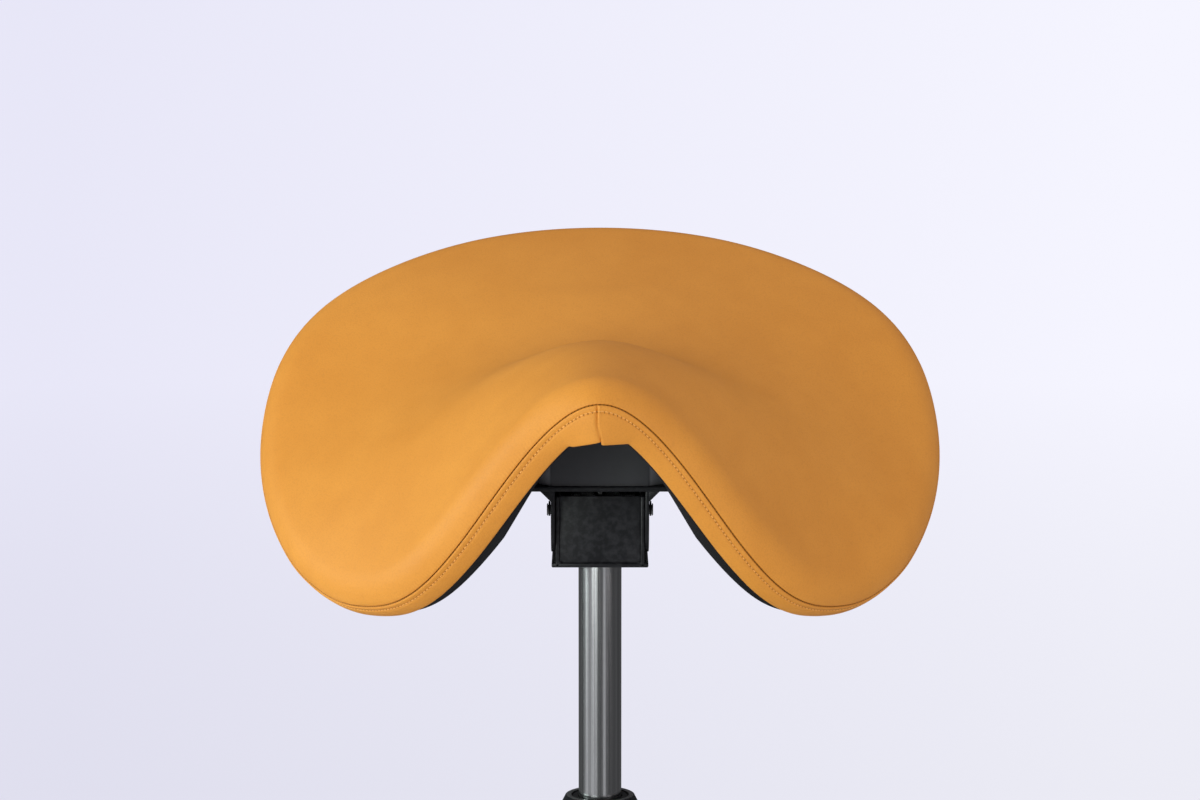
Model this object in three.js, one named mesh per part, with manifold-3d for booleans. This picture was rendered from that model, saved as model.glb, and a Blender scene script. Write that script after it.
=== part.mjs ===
// Saddle stool: a leather saddle seat on a tilting bracket, a gas lift and a five-star base on casters.
// Millimetres, +Z up. The origin is on the floor, under the axis of the lift. The saddle's front faces -Y.

import * as THREE from "three";
import { mergeVertices } from "three/addons/utils/BufferGeometryUtils.js";
import Module from "manifold-3d";

const wasm = await Module();
wasm.setup();

// Values shared by all pieces
const clearance = 0.3;
const overrun = 2;
const weld_distance = 0.0005;
const round_sides = 20;
const pin_sides = 12;
const arc_steps = 3;
const hex_sides = 6;

// Casters: twin wheels that trail behind an upright stem
const caster = {
  wheel_radius: 30,
  wheel_width: 18,
  wheel_sides: 16,
  tread_round: 1.8,
  dish_radius: 19,
  dish_depth: 4.5,
  web_thickness: 12,
  web_radius: 25,
  trail: 27,
  axle_radius: 3,
  fender_thickness: 2.6,
  fender_gap: 1.4,
  fender_start_angle: 5,
  fender_end_angle: 150,
  spine_angle: 45,
  boss_radius: 9,
  boss_top: 71.7,
  stem_radius: 5.5,
  stem_lower_radius: 4,
  stem_lower_length: 19,
  flange_radius: 9,
  flange_height: 1.7,
};

// Five-star base: a hub with five arched legs, a caster socket at the end of each
const base = {
  leg_count: 5,
  stem_circle: 250,
  hub_bottom: 64,
  hub_top: 128,
  hub_radius_bottom: 38,
  hub_radius_top: 31,
  leg_root_width: 42,
  leg_tip_width: 26,
  leg_root_height: 44,
  leg_tip_height: 17,
  leg_root_middle: 98,
  leg_bevel_share: 0.28,
  leg_arch: 5,
  leg_spans: 4,
  socket_radius: 15,
  socket_bottom: 74,
  socket_top: 99,
  socket_round: 3,
  stem_bore_depth: 20,
};

// Gas lift: outer column, guide bush, sliding cylinder, rod on a thrust bearing
const column = {
  radius: 25,
  foot_radius: 23.6,
  wall: 2.5,
  bottom: 52,
  length: 278,
  floor: 6,
  lip_depth: 5,
  chamfer_width: 2.7,
  chamfer_height: 5,
};
const bush = { neck_radius: 18.3, body_length: 60, recess: 0.6 };
const tube = {
  radius: 14,
  wall: 2,
  exposed: 160,
  hidden_below: 130,
  head_depth: 20,
  top_radius: 13,
  taper_start: 3,
  top_height: 40,
};
const gland = { height: 14, inset: 1 };
const rod = {
  radius: 5,
  shoulder_radius: 8,
  shoulder_height: 4,
  groove_radius: 4,
  groove_height: 2.2,
  end_height: 3,
  neck_radius: 3.5,
  piston_level: 244,
  piston_height: 12,
  head_height: 4,
};
const clip = { radius: 9, thickness: 1.5, slot: 6 };
const bearing = { radius: 14, race_height: 2.5, cage_height: 4 };
const button = { radius: 4, rise: 4, bore_depth: 20, spare: 5 };

// Lower housing: a folded steel box round the tapered head of the lift
const housing = {
  half_width: 28.4,
  flange_half_width: 30.9,
  flange_rear: 18,
  plate: 3,
  wall: 2.5,
  front: -50,
  rear: 90,
  front_height: 46,
  wall_height: 50,
  step_start: -36,
  step_end: -24,
  panel_inset: 1,
  socket_radius: 19,
  socket_height: 32,
};

// Tilt pivot
const pivot = {
  y: -34,
  height: 35,
  pin_radius: 4,
  pin_overhang: 2.8,
  bush_wall: 1.8,
  clip_radius: 5.5,
  clip_thickness: 1.2,
  clip_setback: 0.8,
  groove_depth: 0.9,
  clip_slot: 4.4,
};

// Upper bracket: a flat plate with two round ears outside the housing and two slotted tongues inside it
const bracket = {
  half_width: 58,
  front: -62,
  rear: 95,
  corner: 10,
  thickness: 3,
  lift: 51,
  ear_thickness: 2.5,
  ear_radius: 27,
  bend_width: 7,
  bend_height: 6.3,
  tongue_thickness: 2.5,
  tongue_gap: 0.5,
  tongue_front: 38,
  tongue_rear: 63,
  tongue_clear: 2,
};
const tilt_limit = 12;

// Clamp shaft through the slots of the tongues, turned by the tilt lever
const shaft = { y: 50, height: 30, radius: 4, head_radius: 7.5, head_height: 3.3 };
const seat_bolt = { x: 46, front_y: -20, rear_y: 78, radius: 4, head_radius: 6.5, head_height: 5, grip: 20 };

// Levers: bent rods with moulded grips
const lever = {
  rod_radius: 3,
  rod_sides: 4,
  rod_steps: 20,
  barrel_radius: 5.5,
  pin_y: 26,
  pin_height: 43,
  pin_radius: 3,
  barrel_left: -4,
  barrel_right: 14,
  tip_y: -6,
  run_y: 8,
  neck_x: 4,
  inner_x: 12,
  inner_height: 39,
  inner_y: 42,
  turn_y: 84,
  turn_x: 24,
  exit_y: 99,
  sweep_x: 60,
  sweep_y: 107,
  end_x: 150,
  end_y: 112,
  end_rise: 5,
  straight_shares: [0, 0.25, 0.4, 1],
  hub_radius: 8,
  hub_gap: 2.9,
  hub_width: 14,
  hub_bite: 4,
};
const grip = { length: 52, radius: 6.5, neck_radius: 5, bore_depth: 46, round: 3 };

// Saddle: the plan outline from the front centre to the rear centre, and the heights along the ridge
const saddle = {
  half_width: 211,
  length: 330,
  front: -160,
  rise: 59,
  edge_radius: 22,
  leather: 2,
  seam_angle: 65,
  under_angle: 105,
  foam_gap: 0.6,
  pan_gap: 0.5,
  pan_thickness: 5.5,
  pan_rim_inset: 3.3,
  pan_skirt: 6,
  skirt_start: -38,
  skirt_fade: 40,
  arch_flat: -37,
  above_bracket: 82,
  middle_share: 0.5,
  spokes_per_point: 3,
};
const outline_x_shares = [0, 0.216, 0.482, 0.688, 0.922, 1, 0.843, 0.46, 0];
const outline_y_shares = [0, 0.03, 0.092, 0.2, 0.403, 0.645, 0.838, 0.961, 1];
const ridge_height_shares = [0.04, 0.22, 0.01, 0.47, 0.99];
const flank_slope_shares = [3.59, 2.21, 1.19, 0.43, 0.27];
const ridge_round_shares = [0.64, 0.77, 1.085, 0.66, 1.065];
const ring_shares = [0.3, 0.55, 0.75, 0.9, 1];
const seam_arc_shares = [0.5, 1];
const pedestal = { half_width: 56, front: -60, rear: 92, corner: 8 };

// Levels and radii that follow from the sizes above
const rad = THREE.MathUtils.degToRad;
const wheel_level = caster.wheel_radius * Math.cos(Math.PI / caster.wheel_sides);
const column_top = column.bottom + column.length;
const housing_level = column_top + tube.exposed;
const bracket_level = housing_level + bracket.lift;
const saddle_level = bracket_level + bracket.thickness + saddle.above_bracket;
const pin_level = housing_level + pivot.height;
const shaft_level = housing_level + shaft.height;
const lever_pin_level = housing_level + lever.pin_height;
const tube_top = housing_level + tube.top_height;
const button_top = tube_top + button.rise;
const rod_through = rod.radius + clearance;
const bearing_level = column.bottom + column.floor + clearance;
const piston_bottom = column.bottom + rod.piston_level;
const ear_inside = housing.half_width + clearance;
const ear_outside = ear_inside + bracket.ear_thickness;
const pin_half_length = ear_outside + pivot.pin_overhang;
const tongue_outside = housing.half_width - housing.wall - bracket.tongue_gap;
const tongue_inside = tongue_outside - bracket.tongue_thickness;
const hub_left = lever.hub_gap - tongue_inside;
const hub_right = hub_left + lever.hub_width;

// Finishes
const finish = (color, roughness, metalness) =>
  new THREE.MeshStandardMaterial({ color, roughness, metalness });
const leather = finish(0xd08a35, 0.5, 0);
const foam = finish(0xd9cfae, 0.95, 0);
const black_plastic = finish(0x222326, 0.5, 0);
const black_steel = finish(0x232428, 0.42, 0.3);
const brushed_steel = finish(0x9c9ca0, 0.3, 1);
const bright_steel = finish(0xb9bbbf, 0.25, 1);
const cast_aluminium = finish(0xb4b6ba, 0.35, 1);
const grey_tread = finish(0x5b5d61, 0.7, 0);
const bearing_plastic = finish(0x3a3b3f, 0.6, 0);

// Turns a closed geometry into a solid, with its shared corners welded and its faces pointing out
function solid(geometry) {
  const bare = geometry.index ? geometry.toNonIndexed() : geometry.clone();
  bare.deleteAttribute("normal");
  bare.deleteAttribute("uv");
  const welded = mergeVertices(bare, weld_distance);
  const places = welded.attributes.position.array;
  const corners = welded.index.array;
  const kept = [];
  let volume = 0;
  for (let i = 0; i < corners.length; i += 3) {
    const [a, b, c] = [corners[i], corners[i + 1], corners[i + 2]];
    if (a === b || b === c || a === c) continue;
    kept.push(a, b, c);
    const p = new THREE.Vector3().fromArray(places, a * 3);
    const q = new THREE.Vector3().fromArray(places, b * 3);
    const r = new THREE.Vector3().fromArray(places, c * 3);
    volume += p.dot(q.cross(r));
  }
  if (volume < 0) kept.reverse();
  const mesh = { numProp: 3, vertProperties: Float32Array.from(places), triVerts: Uint32Array.from(kept) };
  return new wasm.Manifold(new wasm.Mesh(mesh));
}

function geometry_of(body) {
  const mesh = body.getMesh();
  const geometry = new THREE.BufferGeometry();
  geometry.setAttribute("position", new THREE.BufferAttribute(Float32Array.from(mesh.vertProperties), 3));
  geometry.setIndex(new THREE.BufferAttribute(Uint32Array.from(mesh.triVerts), 1));
  geometry.computeVertexNormals();
  return geometry;
}

const join = (bodies) => bodies.reduce((sum, body) => sum.add(body));
const cut = (body, tools) => tools.reduce((rest, tool) => rest.subtract(tool), body);

// A solid of revolution round Z. The profile is a closed list of [radius, height] pairs.
function turned(profile, sides) {
  const points = [...profile, profile[0]].map(([radius, height]) => new THREE.Vector2(radius, height));
  return solid(new THREE.LatheGeometry(points, sides).rotateX(Math.PI / 2));
}

// The same shape turned round X, with its profile heights running along +X
function turned_x(profile, sides, y, z) {
  const points = [...profile, profile[0]].map(([radius, along]) => new THREE.Vector2(radius, along));
  const geometry = new THREE.LatheGeometry(points, sides).rotateX(Math.PI / 2).rotateY(Math.PI / 2);
  geometry.rotateX(Math.PI / 2 + Math.PI / sides).translate(0, y, z);
  return solid(geometry);
}

const bar = (radius, from, to, sides = round_sides) =>
  turned([[0, from], [radius, from], [radius, to], [0, to]], sides);
const bar_x = (radius, from, to, y, z, sides = pin_sides) =>
  turned_x([[0, from], [radius, from], [radius, to], [0, to]], sides, y, z);
const ring = (inner, outer, from, to, sides = round_sides) =>
  turned([[inner, from], [outer, from], [outer, to], [inner, to]], sides);
const ring_x = (inner, outer, from, to, y, z, sides = pin_sides) =>
  turned_x([[inner, from], [outer, from], [outer, to], [inner, to]], sides, y, z);

function block(x_from, x_to, y_from, y_to, z_from, z_to) {
  const box = new THREE.BoxGeometry(x_to - x_from, y_to - y_from, z_to - z_from);
  return solid(box.translate((x_from + x_to) / 2, (y_from + y_to) / 2, (z_from + z_to) / 2));
}

// A plate that lies flat, from an outline in X and Y
function flat_plate(outline, z_from, z_to) {
  const geometry = new THREE.ExtrudeGeometry(outline, { depth: z_to - z_from, bevelEnabled: false });
  return solid(geometry.translate(0, 0, z_from));
}

// A plate that stands across X, from an outline in Y and Z
function side_plate(outline, x_from, x_to) {
  const geometry = new THREE.ExtrudeGeometry(outline, { depth: x_to - x_from, bevelEnabled: false });
  const across = new THREE.Matrix4().makeBasis(
    new THREE.Vector3(0, 1, 0), new THREE.Vector3(0, 0, 1), new THREE.Vector3(1, 0, 0));
  return solid(geometry.applyMatrix4(across).translate(x_from, 0, 0));
}

function polygon(points) {
  return new THREE.Shape(points.map(([u, v]) => new THREE.Vector2(u, v)));
}

function rounded_rectangle(half_width, front, rear, corner) {
  const shape = new THREE.Shape();
  const quarter = Math.PI / 2;
  shape.absarc(half_width - corner, front + corner, corner, -quarter, 0);
  shape.absarc(half_width - corner, rear - corner, corner, 0, quarter);
  shape.absarc(corner - half_width, rear - corner, corner, quarter, 2 * quarter);
  shape.absarc(corner - half_width, front + corner, corner, 2 * quarter, 3 * quarter);
  shape.closePath();
  return new THREE.Shape(shape.getPoints(arc_steps));
}

// A round rod along a smooth line through the given places
function bent_rod(places, radius) {
  const points = places.map((place) => new THREE.Vector3(...place));
  const path = new THREE.CatmullRomCurve3(points, false, "centripetal");
  const section = new THREE.Shape().absarc(0, 0, radius, 0, 2 * Math.PI);
  const outline = new THREE.Shape(section.getPoints(lever.rod_sides).slice(0, -1));
  return solid(new THREE.ExtrudeGeometry(outline, { extrudePath: path, steps: lever.rod_steps }));
}

function add_piece(group, name, body, material) {
  const mesh = new THREE.Mesh(geometry_of(body), material);
  mesh.name = name;
  group.add(mesh);
}

// Casters
function caster_wheel(side) {
  const inner = caster.web_thickness / 2 + clearance;
  const outer = inner + caster.wheel_width;
  const soft = caster.wheel_radius - caster.tread_round;
  const bore = caster.axle_radius + clearance;
  const profile = [
    [bore, inner],
    [soft, inner],
    [caster.wheel_radius, inner + caster.tread_round],
    [caster.wheel_radius, outer - caster.tread_round],
    [soft, outer],
    [caster.dish_radius, outer],
    [caster.dish_radius, outer - caster.dish_depth],
    [bore, outer - caster.dish_depth],
  ];
  const mirrored = profile.map(([radius, along]) => [radius, side * along]);
  return turned_x(mirrored, caster.wheel_sides, -caster.trail, wheel_level);
}

// The hood: a web between the wheels, a fender over them and the boss that takes the stem
function caster_hood() {
  const half_web = caster.web_thickness / 2;
  const half_width = half_web + clearance + caster.wheel_width;
  const inside = caster.wheel_radius + caster.fender_gap;
  const outside = inside + caster.fender_thickness;
  const [start, end] = [rad(caster.fender_start_angle), rad(caster.fender_end_angle)];
  const shape = new THREE.Shape();
  shape.absarc(-caster.trail, wheel_level, outside, start, end);
  shape.absarc(-caster.trail, wheel_level, inside, end, start, true);
  shape.closePath();
  const fender = side_plate(new THREE.Shape(shape.getPoints(arc_steps)), -half_width, half_width);
  const web = bar_x(caster.web_radius, -half_web, half_web, -caster.trail, wheel_level);
  const boss = bar(caster.boss_radius, wheel_level, caster.boss_top, pin_sides);
  const spine_top = wheel_level + inside * Math.sin(rad(caster.spine_angle));
  const spine = block(-half_web, half_web, -caster.trail, 0, wheel_level, spine_top);
  const wheel_space = (side) => {
    const [near, far] = side > 0 ? [half_web, half_width + overrun] : [-half_width - overrun, -half_web];
    return bar_x(inside, near, far, -caster.trail, wheel_level);
  };
  const fender_over = fender.add(boss).subtract(wheel_space(1)).subtract(wheel_space(-1));
  const whole = join([fender_over, web, spine]);
  const bore_bottom = caster.boss_top - caster.stem_lower_length - 2 * clearance;
  const reach = half_web + overrun;
  return cut(whole, [
    bar(caster.stem_lower_radius + clearance, bore_bottom, caster.boss_top + overrun, pin_sides),
    bar_x(caster.axle_radius + clearance, -reach, reach, -caster.trail, wheel_level),
  ]);
}

function caster_stem() {
  const flange_bottom = caster.boss_top + clearance;
  const flange_top = flange_bottom + caster.flange_height;
  return turned([
    [0, caster.boss_top - caster.stem_lower_length],
    [caster.stem_lower_radius, caster.boss_top - caster.stem_lower_length],
    [caster.stem_lower_radius, flange_bottom],
    [caster.flange_radius, flange_bottom],
    [caster.flange_radius, flange_top],
    [caster.stem_radius, flange_top],
    [caster.stem_radius, base.socket_bottom + base.stem_bore_depth - clearance],
    [0, base.socket_bottom + base.stem_bore_depth - clearance],
  ], pin_sides);
}

function caster_axle() {
  const half = caster.web_thickness / 2 + clearance + caster.wheel_width - caster.dish_depth;
  return bar_x(caster.axle_radius, -half, half, -caster.trail, wheel_level);
}

const leg_angle = (index) => Math.PI / 2 + (index * 2 * Math.PI) / base.leg_count;

function add_casters(stool) {
  for (let index = 0; index < base.leg_count; index += 1) {
    const group = new THREE.Group();
    const angle = leg_angle(index);
    group.position.set(base.stem_circle * Math.cos(angle), base.stem_circle * Math.sin(angle), 0);
    const number = index + 1;
    add_piece(group, `caster_stem_${number}`, caster_stem(), bright_steel);
    add_piece(group, `caster_hood_${number}`, caster_hood(), black_plastic);
    add_piece(group, `caster_axle_${number}`, caster_axle(), bright_steel);
    add_piece(group, `caster_wheel_left_${number}`, caster_wheel(-1), grey_tread);
    add_piece(group, `caster_wheel_right_${number}`, caster_wheel(1), grey_tread);
    stool.add(group);
  }
}

// One leg along +X: bevelled sections from the hub to the caster socket, lofted on an arched line
function base_leg() {
  const root = base.hub_radius_top / 2;
  const tip_middle = (base.socket_bottom + base.socket_top) / 2;
  const rings = Array.from({ length: base.leg_spans + 1 }, (_, i) => {
    const share = i / base.leg_spans;
    const along = THREE.MathUtils.lerp(root, base.stem_circle, share);
    const half_width = THREE.MathUtils.lerp(base.leg_root_width, base.leg_tip_width, share) / 2;
    const half_height = THREE.MathUtils.lerp(base.leg_root_height, base.leg_tip_height, share) / 2;
    const arch = base.leg_arch * Math.sin(Math.PI * share);
    const middle = THREE.MathUtils.lerp(base.leg_root_middle, tip_middle, share) + arch;
    const bevel = base.leg_bevel_share * Math.min(half_width, half_height) * 2;
    return [
      [half_width - bevel, half_height], [bevel - half_width, half_height],
      [-half_width, half_height - bevel], [-half_width, -half_height],
      [half_width, -half_height], [half_width, half_height - bevel],
    ].map(([y, z]) => [along, y, middle + z]);
  });
  const corners = [];
  for (let i = 0; i + 1 < rings.length; i += 1) {
    for (let j = 0; j < rings[i].length; j += 1) {
      const next = (j + 1) % rings[i].length;
      corners.push(rings[i][j], rings[i + 1][j], rings[i + 1][next]);
      corners.push(rings[i][j], rings[i + 1][next], rings[i][next]);
    }
  }
  const [first, last] = [rings[0], rings[rings.length - 1]];
  for (let j = 1; j + 1 < first.length; j += 1) {
    corners.push(first[0], first[j], first[j + 1]);
    corners.push(last[0], last[j + 1], last[j]);
  }
  return solid(triangle_geometry(corners));
}

function triangle_geometry(corners) {
  const geometry = new THREE.BufferGeometry();
  geometry.setAttribute("position", new THREE.Float32BufferAttribute(corners.flat(), 3));
  return geometry;
}

const hub_bore = (level) => {
  const share = (level - column.bottom) / (base.hub_top - column.bottom);
  return THREE.MathUtils.lerp(column.foot_radius, column.radius, share) + clearance;
};

function star_base() {
  const hub = turned([
    [0, base.hub_bottom],
    [base.hub_radius_bottom, base.hub_bottom],
    [base.hub_radius_top, base.hub_top],
    [0, base.hub_top],
  ], round_sides);
  const soft = base.socket_radius - base.socket_round;
  const socket = turned([
    [0, base.socket_bottom],
    [base.socket_radius, base.socket_bottom],
    [base.socket_radius, base.socket_top - base.socket_round],
    [soft, base.socket_top],
    [0, base.socket_top],
  ], pin_sides);
  const bore_top = base.socket_bottom + base.stem_bore_depth;
  const bore = bar(caster.stem_radius + clearance, base.socket_bottom - overrun, bore_top, pin_sides);
  const arm = base_leg().add(socket.translate([base.stem_circle, 0, 0]));
  const drilled = arm.subtract(bore.translate([base.stem_circle, 0, 0]));
  const arms = [];
  for (let index = 0; index < base.leg_count; index += 1) {
    arms.push(drilled.rotate([0, 0, THREE.MathUtils.radToDeg(leg_angle(index))]));
  }
  const [below, above] = [base.hub_bottom - overrun, base.hub_top + overrun];
  const hub_space = [[0, below], [hub_bore(below), below], [hub_bore(above), above], [0, above]];
  return join([hub, ...arms]).subtract(turned(hub_space, round_sides));
}

// Gas lift
function column_tube() {
  const bore = column.radius - column.wall;
  const neck = bush.neck_radius + clearance;
  const floor_top = column.bottom + column.floor;
  return turned([
    [rod_through, column.bottom],
    [column.foot_radius, column.bottom],
    [column.radius, base.hub_top],
    [column.radius, column_top - column.chamfer_height],
    [column.radius - column.chamfer_width, column_top],
    [neck, column_top],
    [neck, column_top - column.lip_depth],
    [bore, column_top - column.lip_depth],
    [bore, base.hub_top],
    [column.foot_radius - column.wall, floor_top],
    [rod_through, floor_top],
  ], round_sides);
}

function guide_bush() {
  const body_top = column_top - column.lip_depth - clearance;
  const body_radius = column.radius - column.wall - clearance;
  const bore = tube.radius + clearance;
  return turned([
    [bore, body_top - bush.body_length],
    [body_radius, body_top - bush.body_length],
    [body_radius, body_top],
    [bush.neck_radius, body_top],
    [bush.neck_radius, column_top - bush.recess],
    [bore, column_top - bush.recess],
  ], round_sides);
}

function gas_cylinder() {
  const bottom = column_top - tube.hidden_below;
  const bore = tube.radius - tube.wall;
  const bore_top = housing_level - tube.head_depth;
  const button_bore = button.radius + clearance;
  return turned([
    [bore, bottom],
    [tube.radius, bottom],
    [tube.radius, housing_level + tube.taper_start],
    [tube.top_radius, tube_top],
    [button_bore, tube_top],
    [button_bore, tube_top - button.bore_depth],
    [0, tube_top - button.bore_depth],
    [0, bore_top],
    [bore, bore_top],
  ], round_sides);
}

function piston_rod() {
  const floor_bottom = column.bottom;
  const groove_top = floor_bottom - clearance / 2;
  const groove_bottom = groove_top - rod.groove_height;
  const shoulder = bearing_level + 2 * bearing.race_height + bearing.cage_height + 3 * clearance;
  const piston_top = piston_bottom + rod.piston_height + 2 * clearance;
  return turned([
    [0, groove_bottom - rod.end_height],
    [rod.radius, groove_bottom - rod.end_height],
    [rod.radius, groove_bottom],
    [rod.groove_radius, groove_bottom],
    [rod.groove_radius, groove_top],
    [rod.radius, groove_top],
    [rod.radius, shoulder],
    [rod.shoulder_radius, shoulder],
    [rod.shoulder_radius, shoulder + rod.shoulder_height],
    [rod.radius, shoulder + rod.shoulder_height],
    [rod.radius, piston_bottom],
    [rod.neck_radius, piston_bottom],
    [rod.neck_radius, piston_top],
    [rod.radius, piston_top],
    [rod.radius, piston_top + rod.head_height],
    [0, piston_top + rod.head_height],
  ], pin_sides);
}

function rod_clip() {
  const top = column.bottom - clearance;
  const disc = ring(rod.groove_radius + clearance, clip.radius, top - clip.thickness, top, pin_sides);
  const slot = block(-clip.slot / 2, clip.slot / 2, 0, clip.radius + overrun,
    top - clip.thickness - overrun, top + overrun);
  return disc.subtract(slot);
}

function add_lift(stool) {
  const race_top = bearing_level + bearing.race_height;
  const cage_top = race_top + clearance + bearing.cage_height;
  const upper_race_bottom = cage_top + clearance;
  const piston = ring(
    rod.neck_radius + clearance, tube.radius - tube.wall - clearance,
    piston_bottom + clearance, piston_bottom + clearance + rod.piston_height);
  const gland_bottom = column_top - tube.hidden_below + gland.inset;
  const gland_ring = ring(
    rod_through, tube.radius - tube.wall - clearance, gland_bottom, gland_bottom + gland.height);
  add_piece(stool, "star_base", star_base(), cast_aluminium);
  add_piece(stool, "column_tube", column_tube(), black_steel);
  add_piece(stool, "guide_bush", guide_bush(), bearing_plastic);
  add_piece(stool, "lower_race", ring(rod_through, bearing.radius, bearing_level, race_top, pin_sides),
    bright_steel);
  add_piece(stool, "ball_cage", ring(rod_through, bearing.radius, race_top + clearance, cage_top, pin_sides),
    bearing_plastic);
  add_piece(stool, "upper_race",
    ring(rod_through, bearing.radius, upper_race_bottom, upper_race_bottom + bearing.race_height, pin_sides),
    bright_steel);
  add_piece(stool, "piston_rod", piston_rod(), bright_steel);
  add_piece(stool, "rod_clip", rod_clip(), bright_steel);
  add_piece(stool, "piston", piston, bearing_plastic);
  add_piece(stool, "gas_cylinder", gas_cylinder(), brushed_steel);
  add_piece(stool, "gland_seal", gland_ring, black_plastic);
  add_piece(stool, "release_button",
    bar(button.radius, tube_top - button.bore_depth + button.spare, button_top, pin_sides), bright_steel);
}

// Lower housing and the pieces fixed in it
function lower_housing() {
  const floor_top = housing_level + housing.plate;
  const floor_shape = polygon([
    [-housing.flange_half_width, housing.front],
    [housing.flange_half_width, housing.front],
    [housing.flange_half_width, housing.flange_rear],
    [housing.half_width, housing.flange_rear],
    [housing.half_width, housing.rear],
    [-housing.half_width, housing.rear],
    [-housing.half_width, housing.flange_rear],
    [-housing.flange_half_width, housing.flange_rear],
  ]);
  const wall_shape = polygon([
    [housing.front, housing_level],
    [housing.rear, housing_level],
    [housing.rear, housing_level + housing.wall_height],
    [housing.step_end, housing_level + housing.wall_height],
    [housing.step_start, housing_level + housing.front_height],
    [housing.front, housing_level + housing.front_height],
  ]);
  const inside = housing.half_width - housing.wall;
  const panel_front = housing.front + housing.panel_inset;
  const body = join([
    flat_plate(floor_shape, housing_level, floor_top),
    side_plate(wall_shape, inside, housing.half_width),
    side_plate(wall_shape, -housing.half_width, -inside),
    block(-inside - clearance, inside + clearance, panel_front, panel_front + housing.wall,
      housing_level, housing_level + housing.front_height),
  ]);
  const reach = housing.half_width + overrun;
  return cut(body, [
    bar(tube.radius + clearance, housing_level - overrun, floor_top + overrun),
    bar_x(pivot.pin_radius + pivot.bush_wall + 2 * clearance, -reach, reach, pivot.y, pin_level),
    bar_x(shaft.radius + clearance, -reach, reach, shaft.y, shaft_level),
    bar_x(lever.pin_radius + clearance, -reach, reach, lever.pin_y, lever_pin_level),
  ]);
}

function taper_socket() {
  const bottom = housing_level + housing.plate + clearance;
  const top = bottom + housing.socket_height;
  const start = housing_level + tube.taper_start;
  const bore = (level) => {
    const share = (level - start) / (tube_top - start);
    return THREE.MathUtils.lerp(tube.radius, tube.top_radius, share) + clearance;
  };
  return turned([
    [bore(bottom), bottom],
    [housing.socket_radius, bottom],
    [housing.socket_radius, top],
    [bore(top), top],
  ], round_sides);
}

function pivot_pin() {
  const groove = pivot.pin_radius - pivot.groove_depth;
  const outer = pin_half_length - pivot.clip_setback;
  const inner = outer - pivot.clip_thickness - 2 * clearance;
  return turned_x([
    [0, -pin_half_length], [pivot.pin_radius, -pin_half_length],
    [pivot.pin_radius, -outer], [groove, -outer], [groove, -inner], [pivot.pin_radius, -inner],
    [pivot.pin_radius, inner], [groove, inner], [groove, outer], [pivot.pin_radius, outer],
    [pivot.pin_radius, pin_half_length], [0, pin_half_length],
  ], pin_sides, pivot.y, pin_level);
}

function pivot_clip(side) {
  const outer = pin_half_length - pivot.clip_setback - clearance;
  const inner = outer - pivot.clip_thickness;
  const [from, to] = side > 0 ? [inner, outer] : [-outer, -inner];
  const bore = pivot.pin_radius - pivot.groove_depth + clearance;
  const disc = ring_x(bore, pivot.clip_radius, from, to, pivot.y, pin_level);
  const half_slot = pivot.clip_slot / 2;
  return disc.subtract(block(from - overrun, to + overrun, pivot.y - half_slot, pivot.y + half_slot,
    pin_level - pivot.clip_radius - overrun, pin_level));
}

function pivot_bush(side) {
  const inside = housing.half_width - housing.wall;
  const [from, to] = side > 0 ? [inside, housing.half_width] : [-housing.half_width, -inside];
  const bore = pivot.pin_radius + clearance;
  return ring_x(bore, bore + pivot.bush_wall, from, to, pivot.y, pin_level);
}

function add_housing(stool) {
  const reach = housing.half_width;
  add_piece(stool, "lower_housing", lower_housing(), black_steel);
  add_piece(stool, "taper_socket", taper_socket(), black_steel);
  add_piece(stool, "pivot_pin", pivot_pin(), bright_steel);
  add_piece(stool, "pivot_clip_left", pivot_clip(-1), black_steel);
  add_piece(stool, "pivot_clip_right", pivot_clip(1), black_steel);
  add_piece(stool, "pivot_bush_left", pivot_bush(-1), bearing_plastic);
  add_piece(stool, "pivot_bush_right", pivot_bush(1), bearing_plastic);
  add_piece(stool, "lever_pin", bar_x(lever.pin_radius, -reach, reach, lever.pin_y, lever_pin_level),
    bright_steel);
}

// Upper bracket
function tongue_slot() {
  const reach = Math.hypot(shaft.y - pivot.y, shaft.height - pivot.height);
  const start = Math.atan2(shaft.height - pivot.height, shaft.y - pivot.y);
  const half = shaft.radius + clearance;
  const last = start - rad(tilt_limit);
  const shape = new THREE.Shape();
  shape.absarc(pivot.y, pin_level, reach - half, last, start, false);
  shape.absarc(pivot.y + reach * Math.cos(start), pin_level + reach * Math.sin(start), half,
    start + Math.PI, start, true);
  shape.absarc(pivot.y, pin_level, reach + half, start, last, true);
  shape.absarc(pivot.y + reach * Math.cos(last), pin_level + reach * Math.sin(last), half,
    last, last - Math.PI, true);
  const inside = housing.half_width;
  return side_plate(new THREE.Shape(shape.getPoints(arc_steps)), -inside, inside);
}

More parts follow.
